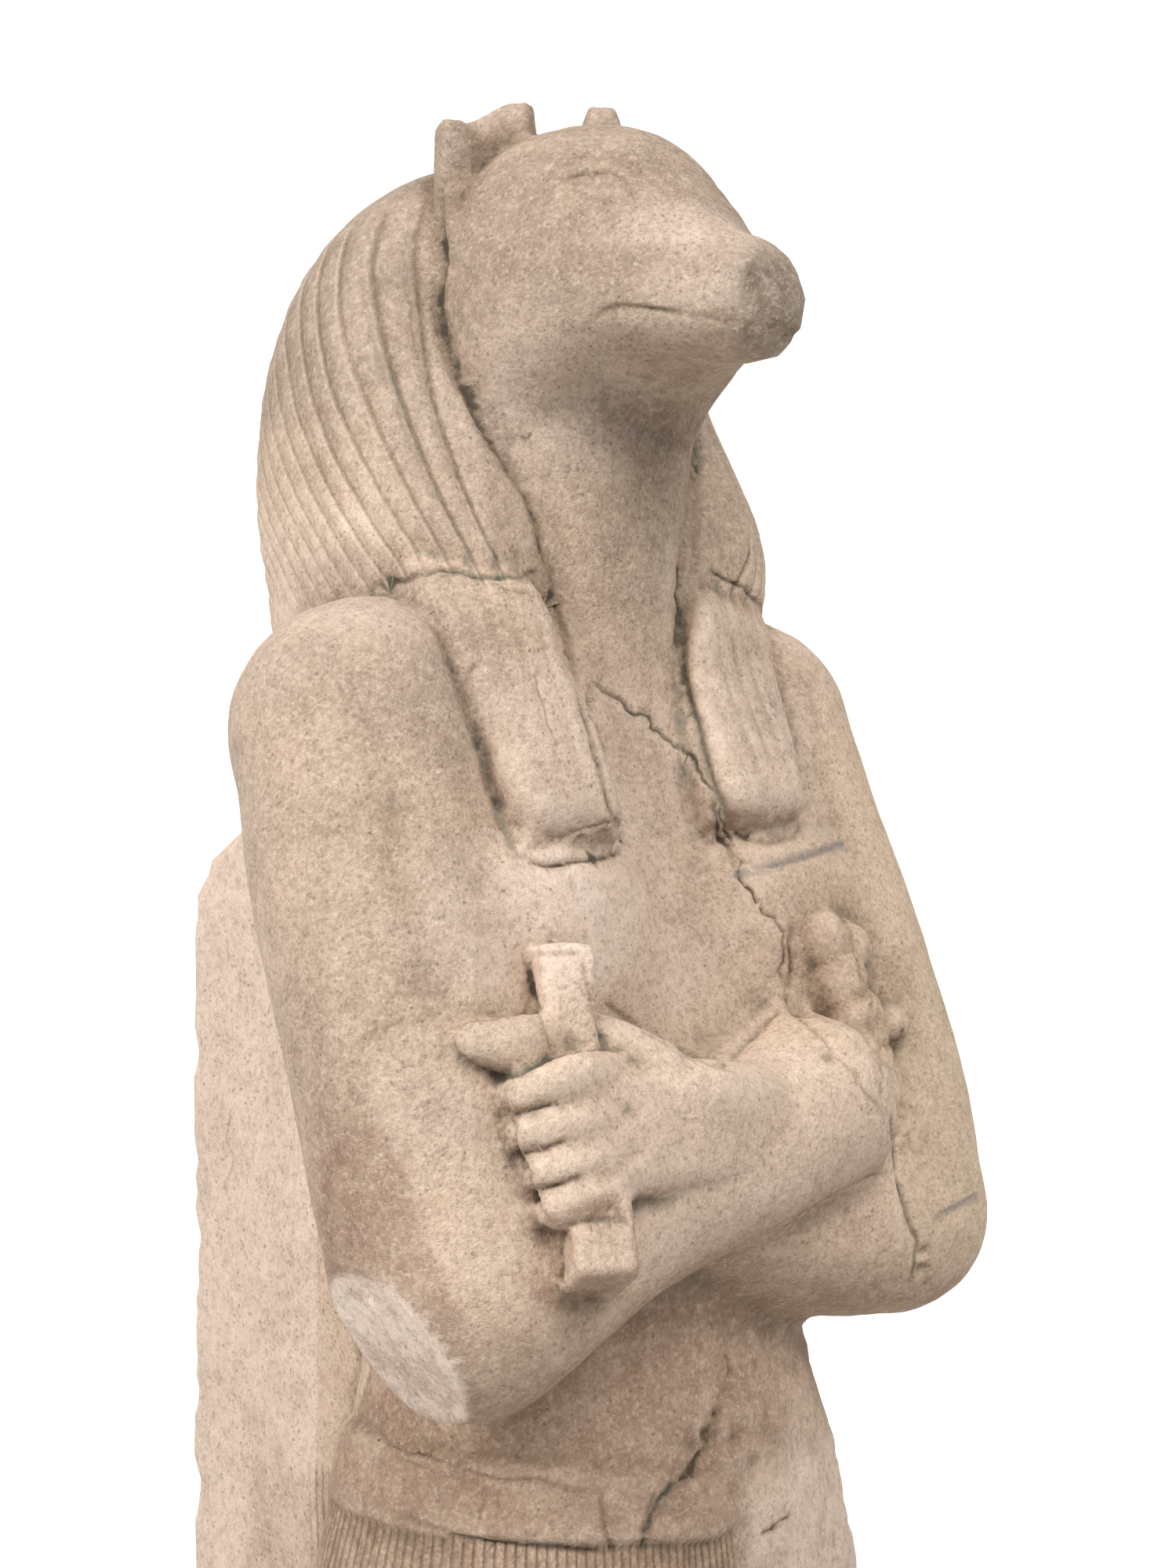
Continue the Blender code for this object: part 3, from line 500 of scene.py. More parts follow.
def hand_forms():
    forms = []
    # back of the left hand, from the knuckles to the wrist, where it runs into the forearms
    for y, z in ((-0.598, -0.594), (-0.612, -0.630), (-0.622, -0.667), (-0.634, -0.701), (-0.642, -0.735)):
        between = z in (-0.630, -0.701)  # these start behind the gaps of the fingers
        forms.append(
            limb(
                "left_hand",
                [
                    (-0.430 if between else -0.550, y + 0.012 * between, z, 0.046),
                    (-0.390 if between else -0.440, y + 0.006, z, 0.056),
                    (-0.330, -0.600 + (y + 0.622) * 0.6, -0.672 + (z + 0.667) * 0.9, 0.072),
                    (-0.200, -0.596, -0.680 + (z + 0.667) * 0.75, 0.090),
                    (-0.060, -0.580, -0.700 + (z + 0.667) * 0.65, 0.096),
                    (0.100, -0.552, -0.715 + (z + 0.667) * 0.60, 0.090),
                ],
                steps=16,
            )
        )
    # four fingers bent round the staff, each a little further back than the one above
    fingers = (
        ((-0.640, -0.578, -0.570), (-0.589, -0.600, -0.556), (-0.502, -0.596, -0.542), (-0.390, -0.570, -0.553)),
        ((-0.636, -0.600, -0.645), (-0.582, -0.622, -0.634), (-0.506, -0.622, -0.626), (-0.400, -0.590, -0.628)),
        ((-0.620, -0.622, -0.714), (-0.570, -0.642, -0.704), (-0.497, -0.642, -0.695), (-0.405, -0.605, -0.690)),
        ((-0.605, -0.645, -0.783), (-0.558, -0.662, -0.773), (-0.489, -0.660, -0.762), (-0.410, -0.620, -0.748)),
    )
    for joints in fingers:
        forms.append(limb("finger", [(*q, r) for q, r in zip(joints, (0.041, 0.044, 0.044, 0.042))], steps=12))
    forms.append(
        limb(
            "left_thumb",
            [
                (-0.698, -0.505, -0.474, 0.047),
                (-0.640, -0.520, -0.484, 0.058),
                (-0.521, -0.518, -0.474, 0.045),
                (-0.436, -0.520, -0.471, 0.042),
                (-0.366, -0.545, -0.503, 0.055),
                (-0.280, -0.565, -0.563, 0.075),
            ],
            steps=18,
        )
    )
    # the short square staff in the hand: its upper stub and its butt
    forms.append(block("staff_top", (-0.054, -0.075, -0.105), (0.054, 0.075, 0.105), 0.012, bearing(-24, -16, 2)))
    move(forms[-1], (-0.455, -0.478, -0.412))
    forms.append(block("staff_butt", (-0.062, -0.080, -0.085), (0.062, 0.080, 0.085), 0.014, bearing(-24, -30, 4)))
    move(forms[-1], (-0.525, -0.655, -0.862))
    # rough remains of the right hand on the left arm, and the tip of its thumb
    for c, r in (
        ((0.372, -0.434, -0.330), (0.060, 0.075, 0.070)),
        ((0.440, -0.440, -0.345), (0.065, 0.070, 0.060)),
        ((0.395, -0.460, -0.425), (0.065, 0.075, 0.080)),
        ((0.430, -0.480, -0.515), (0.075, 0.075, 0.080)),
        ((0.435, -0.510, -0.600), (0.060, 0.075, 0.075)),
        ((0.450, -0.530, -0.675), (0.045, 0.075, 0.070)),
    ):
        forms.append(ball("hand_remains", c, r))
    forms.append(ball("thumb_tip", (0.520, -0.500, -0.524), (0.050, 0.060, 0.042)))
    return forms


def bearing(yaw, pitch, roll):
    """Turn about the vertical, then a lean forward or back and a lean to the side, in degrees."""
    return (
        Matrix.Rotation(math.radians(yaw), 4, "Z")
        @ Matrix.Rotation(math.radians(roll), 4, "Y")
        @ Matrix.Rotation(math.radians(pitch), 4, "X")
    )


def move(mesh, to):
    """Shifts a form that was made about the axis at chest level to another place, in U."""
    mesh.transform(Matrix.Translation(at(*to) - at(0, 0, 0)))


def carving_forms():
    forms = [loft("wig", wig_rings()), loft("kilt", kilt_rings())]
    for side in (-1, 1):
        forms.append(loft("lappet", lappet_rings(side)))
        forms.append(ear_mesh(side))
    return forms + hand_forms()


# ---------------------------------------------------------------- joining and dressing
def joined(name, meshes):
    bm = bmesh.new()
    for mesh in meshes:
        bm.from_mesh(mesh)
        bpy.data.meshes.remove(mesh)
    whole = bpy.data.meshes.new(name)
    bm.to_mesh(whole)
    bm.free()
    obj = bpy.data.objects.new(name, whole)
    bpy.context.scene.collection.objects.link(obj)
    return obj


def baked(obj):
    """The object's evaluated mesh; the object is removed."""
    graph = bpy.context.evaluated_depsgraph_get()
    mesh = bpy.data.meshes.new_from_object(obj.evaluated_get(graph))
    bpy.data.objects.remove(obj)
    return mesh


def fused(name, meshes, voxel, smooth):
    """Forms run together into one skin, their joints softened."""
    obj = joined(name, meshes)
    remesh = obj.modifiers.new("Remesh", "REMESH")
    remesh.mode = "VOXEL"
    remesh.voxel_size = voxel
    if smooth:
        soften = obj.modifiers.new("Smooth", "SMOOTH")
        soften.factor = 0.5
        soften.iterations = smooth
    return baked(obj)


def coordinates(mesh):
    co = np.empty(len(mesh.vertices) * 3, np.float32)
    mesh.vertices.foreach_get("co", co)
    return co.reshape(-1, 3).astype(float)


def in_units(co):
    return np.column_stack([co[:, 0] / U, (co[:, 1] - AXIS_Y) / U, (co[:, 2] - CHEST_Z) / U])


def belt_edges(x, y):
    """Heights of the belt's lower and upper edge round the waist: it dips and narrows in front."""
    around = np.minimum(np.arctan2(np.abs(x), -(y + 0.02)), 1.65)  # 0 in front
    low = -1.585 + 0.060 * np.minimum(around, 1.0)
    return low, low + 0.130 + 0.015 * around


def flatten(co, centre, normal, reach, rough=0.0):
    """Breaks a piece off: what stands out past the plane comes back to it."""
    n = np.array(normal, float) / np.linalg.norm(normal)
    out = (co - np.array(centre)) @ n
    near = np.linalg.norm(co - np.array(centre), axis=1) < reach
    bite = np.where(near & (out > 0), out, 0.0)
    return co - bite[:, None] * n


def carve(mesh):
    """Raises the belt on the skin and breaks the chip off the right elbow."""
    co = coordinates(mesh)
    p = in_units(co)
    x, y, z = p.T
    low, high = belt_edges(x, y)
    band = step(z, low - 0.012, low + 0.012) * (1 - step(z, high - 0.012, high + 0.012))
    out = np.column_stack([x, y, np.zeros(len(x))])
    out /= np.maximum(np.linalg.norm(out, axis=1), 1e-6)[:, None]
    free = (np.abs(x) > PILLAR_HALF + 0.035) | (y < 0)
    worn = 1 - step(x, 0.0, 0.16)  # broken away on the left side of the waist
    p = p + out * (band * free * worn * 0.022)[:, None]
    p = flatten(p, (-0.785, -0.390, -1.074), (-0.864, 0.038, -0.501), 0.34)
    co = np.column_stack([p[:, 0] * U, p[:, 1] * U + AXIS_Y, p[:, 2] * U + CHEST_Z])
    mesh.vertices.foreach_set("co", co.astype(np.float32).ravel())
    mesh.update()
    return mesh


def pillar_mesh():
    """The back pillar: a plain shaft whose top is broken, sloping down to the rear."""
    rings = []
    for z, front, back, half in (
        (SOLE - 0.06, 0.20, PILLAR_BACK, PILLAR_HALF),
        (-2.0, 0.20, PILLAR_BACK, PILLAR_HALF),
        (-0.36, 0.20, PILLAR_BACK + 0.005, PILLAR_HALF),
        (-0.25, 0.20, PILLAR_BACK - 0.020, PILLAR_HALF - 0.004),
        (-0.17, 0.20, PILLAR_BACK - 0.070, PILLAR_HALF - 0.015),
        (PILLAR_TOP - 0.05, 0.20, PILLAR_BACK - 0.150, PILLAR_HALF - 0.035),
        (PILLAR_TOP, 0.20, PILLAR_BACK - 0.250, PILLAR_HALF - 0.070),
    ):
        cut = 0.025
        rings.append(
            [(-half, front, z), (half, front, z), (half, back - cut, z), (half - cut, back, z), (-half + cut, back, z), (-half, back - cut, z)]
        )
    return loft("pillar", rings)


# ---------------------------------------------------------------- relief
def lattice(p, scale, seed):
    """Smooth noise from -1 to 1 at the points p, its cells as large as scale."""
    q = p / scale
    i = np.floor(q).astype(np.int64)
    f = q - i
    f = f * f * (3 - 2 * f)
    total = np.zeros(len(p))
    for corner in range(8):
        d = np.array([(corner >> k) & 1 for k in range(3)])
        n = ((i + d) * np.array([73856093, 19349663, 83492791])).sum(1) + seed * 1000003
        n = n & 0xFFFFFFFF
        n = ((n ^ (n >> 13)) * 1274126177) & 0xFFFFFFFF
        n = n ^ (n >> 16)
        n = (n * 2246822519) & 0xFFFFFFFF
        n = n ^ (n >> 13)
        total += np.prod(np.where(d, f, 1 - f), axis=1) * ((n & 0xFFFF) / 32767.5 - 1)
    return total


def rough(p, scale, seed, octaves=3):
    return sum(lattice(p, scale / 2**k, seed + 17 * k) / 1.8**k for k in range(octaves))


def normals(mesh):
    mesh.update()
    out = np.empty(len(mesh.vertices) * 3, np.float32)
    mesh.vertex_normals.foreach_get("vector", out)
    return out.reshape(-1, 3).astype(float)


def links(mesh):
    out = np.empty(len(mesh.edges) * 2, np.int32)
    mesh.edges.foreach_get("vertices", out)
    return out.reshape(-1, 2).T


def averaged(values, a, b, rounds, keep=0.3):
    """Values at the points run together with their neighbours'."""
    count = np.bincount(a, minlength=len(values)) + np.bincount(b, minlength=len(values))
    count = np.maximum(count, 1)[:, None]
    for _ in range(rounds):
        total = np.column_stack([np.bincount(a, values[b, k], len(values)) + np.bincount(b, values[a, k], len(values)) for k in range(values.shape[1])])
        values = keep * values + (1 - keep) * total / count
    return values


def soft_normals(mesh, rounds=6):
    n = averaged(normals(mesh), *links(mesh), rounds)
    return n / np.maximum(np.linalg.norm(n, axis=1), 1e-9)[:, None]


def place(mesh, co):
    mesh.vertices.foreach_set("co", co.astype(np.float32).ravel())
    mesh.update()


def search(mesh):
    return BVHTree.FromPolygons([v.co.copy() for v in mesh.vertices], [tuple(f.vertices) for f in mesh.polygons])


def gap(trees, co, chosen, reach):
    """Distance from each chosen point to the nearest of some forms, up to reach."""
    out = np.full(len(co), reach)
    for i in np.flatnonzero(chosen):
        best = reach
        point = Vector(co[i])
        for tree in trees:
            hit = tree.find_nearest(point, best)
            if hit[0] is not None and hit[3] < best:
                best = hit[3]
        out[i] = best
    return out


def seen(p):
    """Bearings of points given in U, as seen by the camera, across and down a sheet 1500 wide and 2000 high."""
    s, c = math.sin(TURN), math.cos(TURN)
    across = p[:, 0] * c - p[:, 1] * s
    deep = REACH + p[:, 0] * s + p[:, 1] * c
    return 725 + 2778 * across / deep, 1013 - 2778 * p[:, 2] / deep


def ray(u, v):
    """Camera place and direction, in metres, for a point of the sheet."""
    s, c = math.sin(TURN), math.cos(TURN)
    x = (u - 725) / 2778
    way = Vector((x * c + s, -x * s + c, (1013 - v) / 2778)).normalized()
    return at(-s * REACH, -c * REACH, 0), way


def strand(p):
    """Which strand of the wig a point lies on, counted backward from the face; strands meet at whole numbers."""
    x, y, z = p.T
    turn = np.degrees(np.arctan2(np.abs(x), -(y - 0.18))) / 90
    front = np.minimum(turn, 1.36)
    keep = 1 - step(turn, 1.36, 1.95)
    h = 0.85 + (z - 0.85) * keep
    h = np.clip(h, 0.25, 1.30)
    s = -3.391 + 23.659 * front - 13.6 * h - 10.104 * front * h - 1.762 * front**2 + 8.604 * h**2
    return s + np.maximum(turn - 1.36, 0) * 10.5


def pleat(p):
    """Which pleat of the kilt a point lies on, counted round the hips."""
    x, y, _ = p.T
    return np.arctan2(x, -(y - 0.02)) / (2 * math.pi) * 168


def polyline(tree, points, wander, seed, spacing=3.0):
    """A line of the carving, followed over the surface; points lie on the camera's sheet."""
    pts = np.array(points, float)
    run = np.r_[0, np.cumsum(np.linalg.norm(np.diff(pts, axis=0), axis=1))]
    t = np.arange(0, run[-1] + spacing / 2, spacing)
    path = np.column_stack([np.interp(t, run, pts[:, k]) for k in (0, 1)])
    if wander:
        key = np.column_stack([t, np.full(len(t), seed * 7.3), np.zeros(len(t))])
        path[:, 0] += wander * (lattice(key, 22, seed) + 0.6 * lattice(key, 8, seed + 5))
        path[:, 1] += wander * (lattice(key, 22, seed + 1) + 0.6 * lattice(key, 8, seed + 6))
    out = []
    for u, v in path:
        place_, way = ray(u, v)
        hit = tree.ray_cast(place_, way)
        if hit[0] is not None:
            out.append(hit[0])
    return np.array(out)


ELBOW_CHIP = np.array([-0.785, -0.390, -1.074])  # where the right elbow is chipped off, and which way the scar faces
ELBOW_CUT = np.array([-0.864, 0.038, -0.501])

# name: points on the sheet, half-width and depth in mm, darkness, wander, mirrored on the other side; the darkness is
# earth and breakage in the cuts, and along some edges and creases painted shade
LINES = {
    # the groove between wig and face: brown earth and painted shade
    "face_edge": ([(566, 232), (561, 285), (566, 330), (560, 392), (566, 424), (584, 480), (602, 516), (626, 558), (654, 602), (674, 634), (686, 672), (693, 706), (702, 748)], 3.0, 2.4, 0.72, 1.5, True),
    "lappet_inner": ([(700, 745), (716, 800), (735, 868), (752, 930), (768, 990), (784, 1040), (795, 1076)], 2.0, 1.8, 0.50, 1.5, False),
    "lappet_end": ([(672, 1098), (700, 1103), (740, 1099), (778, 1092), (796, 1080)], 1.8, 1.6, 0.62, 1.2, False),
    # painted shadow along the near lappet's outer edge
    "lappet_outer": ([(548, 776), (562, 806), (575, 845), (590, 885), (606, 935), (622, 985), (636, 1035), (652, 1075), (672, 1098)], 3.0, 1.9, 0.46, 2.0, False),
    "far_lappet_inner": ([(871, 700), (866, 760), (868, 820), (877, 880), (890, 930), (902, 980), (916, 1020), (934, 1058)], 2.6, 2.2, 0.75, 2.0, False),
    "far_lappet_end": ([(930, 1056), (950, 1070), (985, 1074), (1015, 1064), (1030, 1046)], 2.0, 1.4, 0.45, 1.0, False),
    "mouth": ([(764, 405), (768, 399), (777, 394), (791, 391), (808, 391), (826, 393), (846, 396), (869, 399)], 1.3, 1.6, 0.5, 0.0, True),
    "mouth_front": ([(869, 399), (895, 404), (925, 410), (958, 415), (990, 417), (1012, 415)], 1.8, 0.7, 0.35, 1.5, True),
    "eyelid": ([(722, 229), (733, 224), (747, 221), (760, 219), (774, 219), (787, 223), (798, 232), (805, 245), (811, 260)], 1.25, 1.0, 0.55, 0.8, True),
    "eye_low": ([(727, 236), (742, 249), (760, 257), (778, 261), (796, 263), (810, 262)], 1.1, 0.45, 0.22, 0.8, True),
    "brow": ([(716, 212), (735, 202), (762, 197), (790, 201), (812, 214), (824, 232)], 2.4, 0.55, 0.10, 1.0, True),
    "nostril": ([(979, 348), (990, 352), (998, 360), (1001, 372)], 1.8, 0.9, 0.25, 1.2, True),
    "muzzle_crease": ([(958, 340), (966, 362), (970, 388), (974, 408)], 2.6, 0.9, 0.35, 2.0, False),
    "main_crack": ([(752, 870), (770, 886), (796, 900), (824, 918), (846, 936), (868, 952), (884, 966), (896, 988), (908, 1012), (916, 1042), (930, 1072), (944, 1100), (950, 1128), (966, 1152), (982, 1170), (998, 1190), (1003, 1212), (1000, 1240), (1003, 1266)], 0.9, 1.7, 0.66, 5.0, False),
    "main_crack_low": ([(908, 1020), (916, 1050), (932, 1088), (944, 1116)], 1.5, 1.6, 0.62, 4.0, False),
    "wig_break": ([(476, 748), (505, 742), (530, 733), (560, 729), (588, 728), (612, 735), (640, 738), (668, 733), (694, 727)], 1.4, 1.4, 0.62, 2.5, False),
    "lappet_crack": ([(560, 735), (600, 730), (640, 748), (672, 758), (700, 766)], 0.8, 0.7, 0.5, 2.0, False),
    "lappet_split": ([(682, 860), (690, 890), (702, 925), (712, 955)], 0.7, 0.6, 0.5, 2.0, False),
    "lappet_chip": ([(592, 872), (600, 858), (606, 846)], 1.0, 0.9, 0.7, 1.0, False),
    "end_break": ([(674, 1084), (700, 1072), (735, 1062), (772, 1050), (794, 1052)], 1.1, 0.9, 0.35, 2.0, False),
    "far_lappet_crack": ([(905, 726), (925, 738), (948, 752), (968, 770), (984, 790)], 1.2, 1.2, 0.7, 2.5, False),
    "chest_crack": ([(752, 868), (748, 890), (760, 930), (770, 955)], 1.0, 0.9, 0.5, 2.0, False),
    "shoulder_line": ([(405, 1062), (440, 1060), (480, 1058), (522, 1062)], 0.7, 0.4, 0.22, 2.0, False),
    "arm_line": ([(440, 1340), (475, 1320), (515, 1302), (560, 1296), (576, 1300)], 0.9, 0.5, 0.25, 2.0, False),
    # painted shade in the valley between upper arm and chest, with some brown
    "arm_crease": ([(488, 1000), (500, 1060), (518, 1140), (534, 1205), (545, 1255), (560, 1290)], 11.0, 2.8, 0.14, 2.0, False),
    "thumb_top": ([(576, 1312), (592, 1303), (622, 1299), (655, 1296), (686, 1292)], 1.6, 1.0, 0.35, 0.8, False),
    "thumb_under": ([(575, 1334), (590, 1350), (610, 1362), (640, 1374), (664, 1368), (690, 1354), (705, 1344)], 1.8, 1.6, 0.6, 0.8, False),
    "staff_left": ([(671, 1222), (676, 1250), (684, 1282), (690, 1292)], 1.6, 1.4, 0.45, 0.8, False),
    "staff_thumb": ([(689, 1290), (697, 1318), (704, 1344)], 0.9, 0.8, 0.35, 0.6, False),
    "staff_right": ([(744, 1224), (752, 1262), (760, 1296), (768, 1336)], 1.6, 1.2, 0.35, 0.8, False),
    "staff_top_edge": ([(674, 1219), (700, 1217), (740, 1216)], 1.2, 0.8, 0.3, 0.6, False),
    "index_top": ([(646, 1384), (660, 1368), (690, 1356), (720, 1344), (748, 1339), (774, 1337), (798, 1341)], 1.1, 1.1, 0.45, 0.6, False),
    "hand_top": ([(772, 1282), (800, 1302), (832, 1320), (866, 1338), (896, 1352), (922, 1362)], 1.6, 1.0, 0.38, 1.2, False),
    "forearm_top": ([(922, 1362), (944, 1338), (964, 1318), (984, 1298), (1000, 1284)], 1.6, 1.2, 0.5, 1.2, False),
    "finger_ends": ([(645, 1384), (642, 1398), (650, 1420), (655, 1436), (656, 1456), (666, 1478), (673, 1492), (676, 1508), (686, 1526), (690, 1545), (702, 1560), (717, 1567)], 1.2, 1.1, 0.45, 0.6, False),
    "fingers_1": ([(650, 1425), (668, 1419), (688, 1414), (708, 1409)], 1.1, 1.5, 0.55, 0.5, False),
    "fingers_2": ([(664, 1474), (684, 1469), (704, 1463), (722, 1456)], 1.1, 1.5, 0.55, 0.5, False),
    "fingers_3": ([(680, 1520), (700, 1516), (722, 1509), (742, 1500)], 1.1, 1.5, 0.55, 0.5, False),
    "butt_top": ([(718, 1566), (742, 1560), (772, 1556), (798, 1557), (806, 1566)], 1.1, 0.9, 0.3, 0.6, False),
    "butt_side": ([(720, 1566), (716, 1600), (716, 1634)], 1.4, 1.0, 0.4, 0.6, False),
    "hand_line": ([(942, 1470), (938, 1500), (936, 1545)], 0.6, 0.35, 0.2, 1.0, False),
    "wrist_break": ([(1004, 1284), (1024, 1302), (1046, 1322), (1066, 1346), (1088, 1370), (1108, 1396), (1126, 1422)], 1.2, 1.0, 0.40, 2.0, False),
    "wrist_break_low": ([(1136, 1428), (1140, 1460), (1143, 1494)], 1.5, 1.4, 0.6, 1.5, False),
    # painted shade where the right forearm passes over the left
    "forearms_between": ([(892, 1612), (935, 1592), (980, 1570), (1030, 1545), (1070, 1520), (1110, 1502), (1142, 1496)], 1.2, 0.9, 0.22, 1.0, False),
    "elbow_crack": ([(1143, 1500), (1150, 1525), (1160, 1556), (1170, 1585), (1168, 1612), (1160, 1640)], 1.2, 1.7, 0.55, 1.5, False),
    "remains_edge": ([(1012, 1180), (1008, 1210), (1010, 1240), (1006, 1262)], 1.8, 1.8, 0.6, 2.0, False),
    "remains_right": ([(1086, 1186), (1092, 1215), (1102, 1245), (1112, 1280), (1108, 1310), (1122, 1336), (1128, 1372), (1124, 1400)], 1.2, 0.8, 0.3, 3.0, False),
    "nub_under": ([(1116, 1326), (1132, 1334), (1148, 1326), (1154, 1310)], 1.6, 1.5, 0.6, 0.6, False),
    "belt_top": ([(487, 1826), (500, 1842), (540, 1856), (580, 1868), (610, 1880), (645, 1889), (690, 1888), (720, 1900), (758, 1904)], 1.0, 1.1, 0.45, 2.0, False),
    "belt_low": ([(500, 1930), (540, 1944), (580, 1958), (625, 1968), (680, 1972), (730, 1976), (780, 1980)], 1.3, 1.3, 0.5, 1.5, False),
    "chip_rim": ([(436, 1668), (446, 1652), (470, 1652), (500, 1672), (530, 1702), (556, 1738), (572, 1766), (578, 1790)], 1.8, -0.1, 0.34, 2.0, False),
    "belt_inner": ([(505, 1858), (540, 1872), (580, 1886), (620, 1896)], 0.7, 0.5, 0.25, 1.5, False),
    "pen_far": ([(982, 1106), (1010, 1098), (1040, 1088), (1068, 1076), (1090, 1066)], 0.8, 0.1, 0.50, 1.0, False),
    "pen_thin": ([(838, 1143), (870, 1138), (905, 1128), (940, 1118)], 0.5, 0.0, 0.30, 1.0, False),
    "pen_elbow": ([(1202, 1546), (1222, 1536), (1246, 1522)], 0.7, 0.1, 0.50, 1.0, False),
    "belt_seam": ([(640, 1893), (634, 1930), (632, 1964)], 0.8, 0.5, 0.3, 1.0, False),
    "belt_split": ([(622, 1892), (616, 1920), (610, 1945)], 0.7, 0.6, 0.5, 1.5, False),
    "tab_left": ([(766, 1904), (772, 1940), (780, 1985)], 1.6, 1.4, 0.5, 1.5, False),
    "tab_right": ([(838, 1900), (826, 1940), (818, 1980)], 1.6, 1.6, 0.6, 1.5, False),
    "belly_crack": ([(918, 1800), (905, 1838), (888, 1866), (862, 1890), (842, 1915), (828, 1945), (820, 1970)], 2.2, 2.4, 0.85, 3.0, False),
    "belly_crack_up": ([(924, 1720), (930, 1750), (916, 1790)], 1.2, 1.2, 0.5, 3.0, False),
    "belly_scar": ([(972, 1958), (990, 1948), (1010, 1936)], 1.4, 1.6, 0.7, 2.0, False),
    "pillar_crack": ([(296, 1410), (292, 1450), (296, 1490), (288, 1510)], 0.6, 0.5, 0.35, 3.0, False),
    "neck_chip": ([(664, 556), (672, 562), (678, 552)], 1.1, 0.8, 0.5, 0.6, False),
}

# chips and hollows: point on the sheet, radius and depth in mm (negative stands out), darkness, paleness
SPOTS = [
    ((1024, 1286), 8.0, 6.5, 0.50, 0.0),
    ((1008, 1274), 4.5, 3.6, 0.55, 0.0),
    ((735, 235), 2.4, 0.5, 0.45, 0.0),
    ((750, 258), 1.6, 0.4, 0.40, 0.0),
    ((792, 210), 1.6, 0.3, 0.25, 0.0),
    # a painted highlight on top of the muzzle
    ((870, 262), 6.0, 0.3, 0.0, 0.75),
    ((838, 850), 9.0, -0.5, 0.0, 0.9),
    ((850, 905), 6.0, -0.5, 0.0, 0.8),
    ((812, 1020), 5.0, 0.0, 0.0, 0.3),
    ((1060, 1348), 5.0, 2.0, 0.45, 0.0),
    ((905, 1832), 6.0, 5.0, 0.95, 0.0),
    ((916, 1806), 4.5, 3.0, 0.8, 0.0),
    ((928, 1774), 5.0, 2.5, 0.55, 0.0),
    ((884, 1846), 6.0, 3.0, 0.55, 0.0),
    ((864, 1892), 5.0, 2.5, 0.45, 0.0),
    ((940, 1836), 5.0, 2.5, 0.40, 0.0),
    ((960, 1870), 5.0, 2.0, 0.25, 0.2),
    ((672, 544), 2.6, -1.5, 0.0, 0.25),
    ((1178, 1600), 4.5, 3.0, 0.0, 0.5),
    ((1176, 1622), 5.0, 3.0, 0.0, 0.5),
    ((975, 1885), 4.5, -1.2, 0.0, 0.4),
    ((420, 1042), 1.2, 0.8, 0.8, 0.0),
    ((418, 1045), 0.9, 0.5, 0.6, 0.0),
    ((700, 1440), 1.0, 0.6, 0.7, 0.0),
    ((534, 1282), 1.0, 0.5, 0.7, 0.0),
    ((760, 1320), 1.4, 1.0, 0.6, 0.0),
    ((740, 1070), 3.0, 1.4, 0.2, 0.0),
    ((700, 1076), 4.0, 1.2, 0.1, 0.0),
    ((1008, 340), 3.0, 1.2, 0.3, 0.0),
    ((1002, 430), 3.0, 1.0, 0.3, 0.0),
    ((900, 985), 2.4, 1.4, 0.7, 0.0),
    ((1180, 1640), 3.2, 1.6, 0.0, 0.2),
]


def far_from(points, co, chosen, reach):
    """Distance in metres from the chosen points to a line of points, and how far along it they are."""
    out = np.full(len(co), reach)
    along = np.zeros(len(co))
    low, high = points.min(0) - reach, points.max(0) + reach
    pick = np.flatnonzero(chosen & np.all((co > low) & (co < high), axis=1))
    if not len(pick) or len(points) < 2:
        return out, along
    a, b = points[:-1], points[1:]
    d = b - a
    size = np.maximum((d * d).sum(1), 1e-12)
    for block_ in np.array_split(pick, max(1, len(pick) * len(a) // 3000000)):
        q = co[block_][:, None, :] - a[None]
        t = np.clip((q * d).sum(2) / size, 0, 1)
        r = np.linalg.norm(q - t[..., None] * d, axis=2)
        k = r.argmin(1)
        out[block_] = np.minimum(r[np.arange(len(block_)), k], reach)
        along[block_] = (k + t[np.arange(len(block_)), k]) / len(a)
    return out, along


def seen_normal(n):
    """How squarely a surface faces the camera."""
    s, c = math.sin(TURN), math.cos(TURN)
    return -(n[:, 0] * s + n[:, 1] * c)


